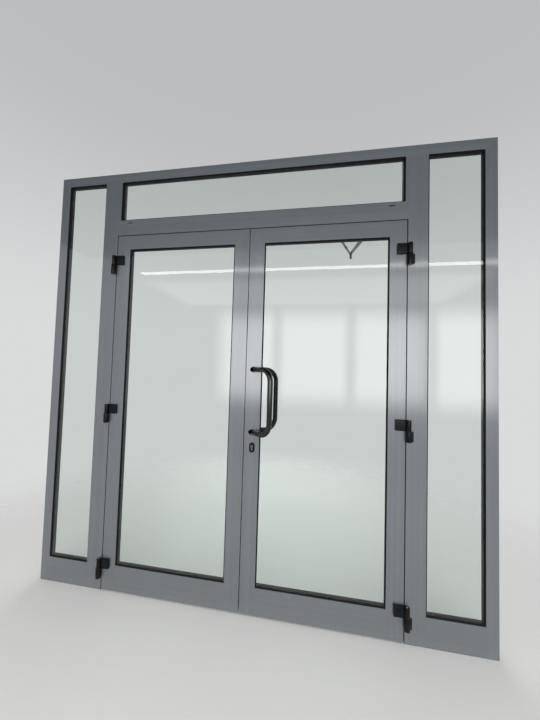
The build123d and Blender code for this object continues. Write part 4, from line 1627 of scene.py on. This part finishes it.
@dataclass
class Seals:
    """Stop seal, meeting seal and the brushes under the leaves."""

    dresser: Dresser
    stop_edge: float = 0.8 * MM
    meeting_edge: float = 1 * MM
    carrier_half: float = 2.6 * MM
    carrier_drop: float = 1.2 * MM
    carrier_round: float = 0.3 * MM
    pitch: float = 1.15 * MM
    rows: int = 4
    row_gap: float = 1.2 * MM
    row_spread: float = 0.5 * MM
    scatter: float = 0.3
    lean: float = 0.5 * MM
    splay: float = 0.3 * MM
    ragged: float = 0.6 * MM
    root: float = 0.42 * MM
    root_lift: float = 0.5 * MM
    tip: float = 0.2 * MM
    section: Profile = ((1, 0), (-0.5, 0.87), (-0.5, -0.87))
    seed: int = 7

    def build(self) -> None:
        """Dresses the seals and builds the brushes."""
        self.dresser.dress("door_stop_seal", Finishes.rubber, self.stop_edge)
        self.dresser.dress("meeting_seal", Finishes.rubber, self.meeting_edge)
        for side in Side:
            span = Span.of(f"{side.label}_bottom_brush")
            holder = Span.of(f"{side.label}_bottom_rail").low.z
            self.brush_carrier(side, span, holder)
            self.brush_pile(side, span, holder)

    def brush_carrier(self, side: Side, span: Span, holder: float) -> None:
        """Builds the channel that holds a brush.

        Args:
            side: Side of the leaf.
            span: Box of the brush.
            holder: Height of the rail's foot.
        """
        mesh = Sheet()
        mesh.box(
            (span.low.x, span.high.x),
            (span.middle.y - self.carrier_half, span.middle.y + self.carrier_half),
            (holder - self.carrier_drop, span.high.z),
            radius=self.carrier_round,
            steps=2,
        )
        mesh.piece(f"{side.label}_brush_carrier", Finishes.cleat, f"{side.label}_leaf")

    def brush_pile(self, side: Side, span: Span, holder: float) -> None:
        """Builds a brush's rows of bristles, each leaning a little its own way.

        Args:
            side: Side of the leaf.
            span: Box of the brush.
            holder: Height of the rail's foot.
        """
        pile = Sheet()
        draw = random.Random(self.seed + side.value)
        count = int((span.high.x - span.low.x) / self.pitch)
        for row in range(self.rows):
            off = row - (self.rows - 1) / 2
            y = span.middle.y + off * self.row_gap
            for i in range(count):
                x = span.low.x + (i + 0.5 + draw.uniform(-self.scatter, self.scatter)) * self.pitch
                lean = draw.uniform(-self.lean, self.lean)
                spread = off * self.row_spread + draw.uniform(-self.splay, self.splay)
                foot = span.low.z + draw.uniform(0.0, self.ragged)
                top = Vector((x, y, holder + self.root_lift))
                low = Vector((x + lean, y + spread, foot))
                pile.loft(
                    [
                        [end + Vector((a, b, 0)) * size for a, b in self.section]
                        for end, size in ((top, self.root), (low, self.tip))
                    ]
                )
        node = f"{side.label}_bottom_brush"
        pile.piece(f"{side.label}_brush_pile", Finishes.pile, f"{side.label}_leaf", [node])


# Camera, stage and light


@dataclass(frozen=True)
class PhotoCamera:
    """Wide phone camera close in front of the door; its angles are in degrees."""

    place: Point = (0.3969, -1.5523, 1.3842)
    yaw: float = 9.36
    pitch: float = -2.19
    roll: float = 1.65
    focal_pixels: float = 272.4
    long_side_pixels: float = 720.0
    sensor: float = 36.0
    near: float = 0.05

    def build(self) -> None:
        """Makes the scene's camera."""
        data = bpy.data.cameras.new("photo_camera")
        data.sensor_width = self.sensor
        data.lens = self.sensor * self.focal_pixels / self.long_side_pixels
        data.clip_start = self.near
        made = bpy.data.objects.new("photo_camera", data)
        bpy.context.scene.collection.objects.link(made)
        turn = (
            Matrix.Rotation(math.radians(self.roll), 3, "Z")
            @ Matrix.Rotation(math.radians(self.pitch), 3, "X")
            @ Matrix.Rotation(math.radians(self.yaw), 3, "Y")
        )
        right, down, ahead = (Vector((row[0], row[2], -row[1])) for row in turn)
        axes = Matrix((right, -down, -ahead)).transposed()
        made.matrix_world = Matrix.Translation(self.place) @ axes.to_4x4()
        bpy.context.scene.camera = made
        LOG.info("camera at %s, %.2f mm lens", self.place, data.lens)


class Glow:
    """Colours of the lamps."""

    daylight: Colour = (0.97, 0.985, 1.0)
    neutral: Colour = (1.0, 0.995, 0.985)
    indoor: Colour = (1.0, 0.99, 0.97)


@dataclass(frozen=True)
class SoftLight:
    """A large lamp that fades towards its edges, and may be split into upright panels."""

    name: str
    place: Point
    aim: Point
    width: float
    height: float
    radiance: float
    colour: Colour
    fade: float = 0.3
    panels: int = 1
    panel_edge: float = 0.36
    panel_gap: float = 0.25
    reflected: bool = True

    def build(self) -> None:
        """Makes the lamp, unseen by the camera and through the glass."""
        data = bpy.data.lights.new(self.name, "AREA")
        data.shape = "RECTANGLE"
        data.size, data.size_y = self.width, self.height
        data.energy = self.radiance * math.pi * self.width * self.height
        data.color = self.colour
        data.use_nodes = True
        self.soften(Graph(data.node_tree), data.node_tree.nodes["Emission"])
        made = bpy.data.objects.new(self.name, data)
        bpy.context.scene.collection.objects.link(made)
        made.location = self.place
        made.rotation_euler = (Vector(self.aim) - Vector(self.place)).to_track_quat("-Z", "Y").to_euler()
        made.visible_camera = False
        made.visible_transmission = False
        made.visible_glossy = self.reflected

    def soften(self, graph: Graph, emission: bpy.types.Node) -> None:
        """Fades the lamp towards its edges and between its panels.

        Args:
            graph: The lamp's graph.
            emission: Its emission shader.
        """
        place = graph.parts(graph.node("NewGeometry").outputs["Parametric"])
        glow = 1.0
        for axis, fade in (("X", self.fade * self.height / self.width), ("Y", self.fade)):
            off = graph.math("ABSOLUTE", graph.math("SUBTRACT", place[axis], 0.5))
            glow = graph.math("MULTIPLY", graph.ramp(off, 0.5, 0.5 - fade), glow)
        if self.panels > 1:
            share = graph.math("FRACT", graph.math("MULTIPLY", place["X"], float(self.panels)))
            off = graph.math("ABSOLUTE", graph.math("SUBTRACT", share, 0.5))
            panel = graph.ramp(off, 0.5, self.panel_edge, (self.panel_gap, 1.0))
            glow = graph.math("MULTIPLY", panel, glow)
        graph.feed(emission.inputs["Strength"], glow)


@dataclass(frozen=True)
class Studio:
    """Pale floor, pale surroundings and soft lamps."""

    floor_colour: Colour = (0.80, 0.795, 0.78)
    floor_darker: float = 0.95
    floor_grain: float = 240.0
    floor_roughness: float = 0.6
    floor_radius: float = 3.6
    floor_fade: float = 1.3
    floor_margin: float = 0.2
    horizon: Colour = (0.70, 0.705, 0.71)
    zenith: Colour = (0.50, 0.505, 0.515)
    ambient: float = 0.32
    flag_size: tuple[float, float] = (6.0, 1.9)
    flag_place: Point = (0.0, -1.05, 3.0)
    flag_colours: tuple[Colour, Colour] = ((0.01, 0.01, 0.01), (0.03, 0.03, 0.03))
    flag_weave: float = 900.0
    flag_roughness: float = 0.9
    lamps: tuple[SoftLight, ...] = (
        SoftLight(
            "front_window",
            place=(1.275, -5.4, 1.75),
            aim=(1.275, 0.0, 1.75),
            width=7.4,
            height=2.9,
            radiance=5.0,
            colour=Glow.daylight,
            fade=0.25,
            panels=4,
        ),
        SoftLight(
            "front_ceiling",
            place=(0.2, -3.35, 2.8),
            aim=(0.2, -3.35, 0.0),
            width=5.6,
            height=2.0,
            radiance=1.6,
            colour=Glow.indoor,
            fade=0.2,
        ),
        SoftLight(
            "front_strip",
            place=(0.3, -2.1, 2.78),
            aim=(0.3, -2.1, 0.0),
            width=5.0,
            height=0.12,
            radiance=8.0,
            colour=Glow.indoor,
            fade=0.1,
        ),
        SoftLight(
            "overhead",
            place=(0.0, 0.0, 4.4),
            aim=(0.0, 0.0, 0.0),
            width=7.5,
            height=5.0,
            radiance=1.5,
            colour=Glow.neutral,
            reflected=False,
        ),
        SoftLight(
            "back_ceiling",
            place=(0.0, 3.3, 2.8),
            aim=(0.0, 3.3, 0.0),
            width=4.6,
            height=2.0,
            radiance=2.0,
            colour=Glow.indoor,
        ),
        SoftLight(
            "back_window",
            place=(-0.6, 5.0, 1.3),
            aim=(0.0, 0.0, 1.2),
            width=5.4,
            height=2.4,
            radiance=3.6,
            colour=Glow.daylight,
            panels=3,
        ),
    )

    def build(self) -> None:
        """Makes the floor, the flag, the world and the lamps."""
        self.floor()
        self.flag()
        self.world()
        for lamp in self.lamps:
            lamp.build()
        bpy.context.scene.view_settings.view_transform = "Standard"

    def floor(self) -> None:
        """Makes a pale floor that fades into the surroundings."""
        material = bpy.data.materials.new("pale_floor")
        material.use_nodes = True
        graph = Graph(material.node_tree)
        shader = material.node_tree.nodes["Principled BSDF"]
        place = graph.place()
        grain = graph.noise(place, self.floor_grain, detail=4.0, rough=0.7)
        darker = tuple(channel * self.floor_darker for channel in self.floor_colour)
        tone = graph.blend(graph.ramp(grain, low=0.35, high=0.65), darker, self.floor_colour)
        graph.feed(shader.inputs["Base Color"], tone)
        shader.inputs["Roughness"].default_value = self.floor_roughness
        distance = graph.node("VectorMath", operation="LENGTH")
        graph.feed(distance.inputs[0], place)
        gone = self.floor_radius - self.floor_margin
        fade = graph.ramp(distance.outputs["Value"], self.floor_fade, gone)
        graph.show(fade, shader, graph.node("BsdfTransparent"))
        mesh = bmesh.new()
        bmesh.ops.create_circle(mesh, cap_ends=True, radius=self.floor_radius, segments=96)
        as_object("studio_floor", mesh, material)

    def flag(self) -> None:
        """Hangs a black cloth over the front, which only reflections show and which darkens the head."""
        material = bpy.data.materials.new("black_flag_cloth")
        material.use_nodes = True
        graph = Graph(material.node_tree)
        shader = material.node_tree.nodes["Principled BSDF"]
        weave = graph.noise(graph.place(), self.flag_weave)
        graph.feed(shader.inputs["Base Color"], graph.blend(weave, *self.flag_colours))
        shader.inputs["Roughness"].default_value = self.flag_roughness
        mesh = bmesh.new()
        matrix = Matrix.Translation(self.flag_place) @ Matrix.Diagonal((*self.flag_size, 1.0, 1.0))
        bmesh.ops.create_grid(mesh, x_segments=1, y_segments=1, size=0.5, matrix=matrix)
        made = as_object("studio_flag", mesh, material)
        made.visible_camera = False
        made.visible_transmission = False
        made.visible_shadow = False
        made.visible_diffuse = False

    def world(self) -> None:
        """Makes pale surroundings, with a plainer ambient light for the surfaces."""
        world = bpy.data.worlds.new("pale_studio")
        world.use_nodes = True
        bpy.context.scene.world = world
        graph = Graph(world.node_tree)
        ground = world.node_tree.nodes["Background"]
        height = graph.parts(graph.node("TexCoord").outputs["Generated"])["Z"]
        tone = graph.blend(graph.ramp(height, low=0.10, high=0.75), self.horizon, self.zenith)
        graph.feed(ground.inputs["Color"], tone)
        path = graph.node("LightPath").outputs
        seen = graph.math("MAXIMUM", path["Is Camera Ray"], path["Is Glossy Ray"])
        seen = graph.math("MAXIMUM", seen, path["Is Transmission Ray"])
        graph.feed(ground.inputs["Strength"], graph.ramp(seen, 0.0, 1.0, (self.ambient, 1.0)))


def main() -> None:
    """Builds the door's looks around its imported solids, in order."""
    logging.basicConfig(level=logging.INFO, format="%(name)s: %(message)s")
    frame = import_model()
    dresser = Dresser(frame)
    for assembly in (Profiles, Glazing, Hinges, PullHandles, LockAndBolts, Closer, Seals):
        assembly(dresser).build()
    PhotoCamera().build()
    Studio().build()


if __name__ == "__main__":
    main()
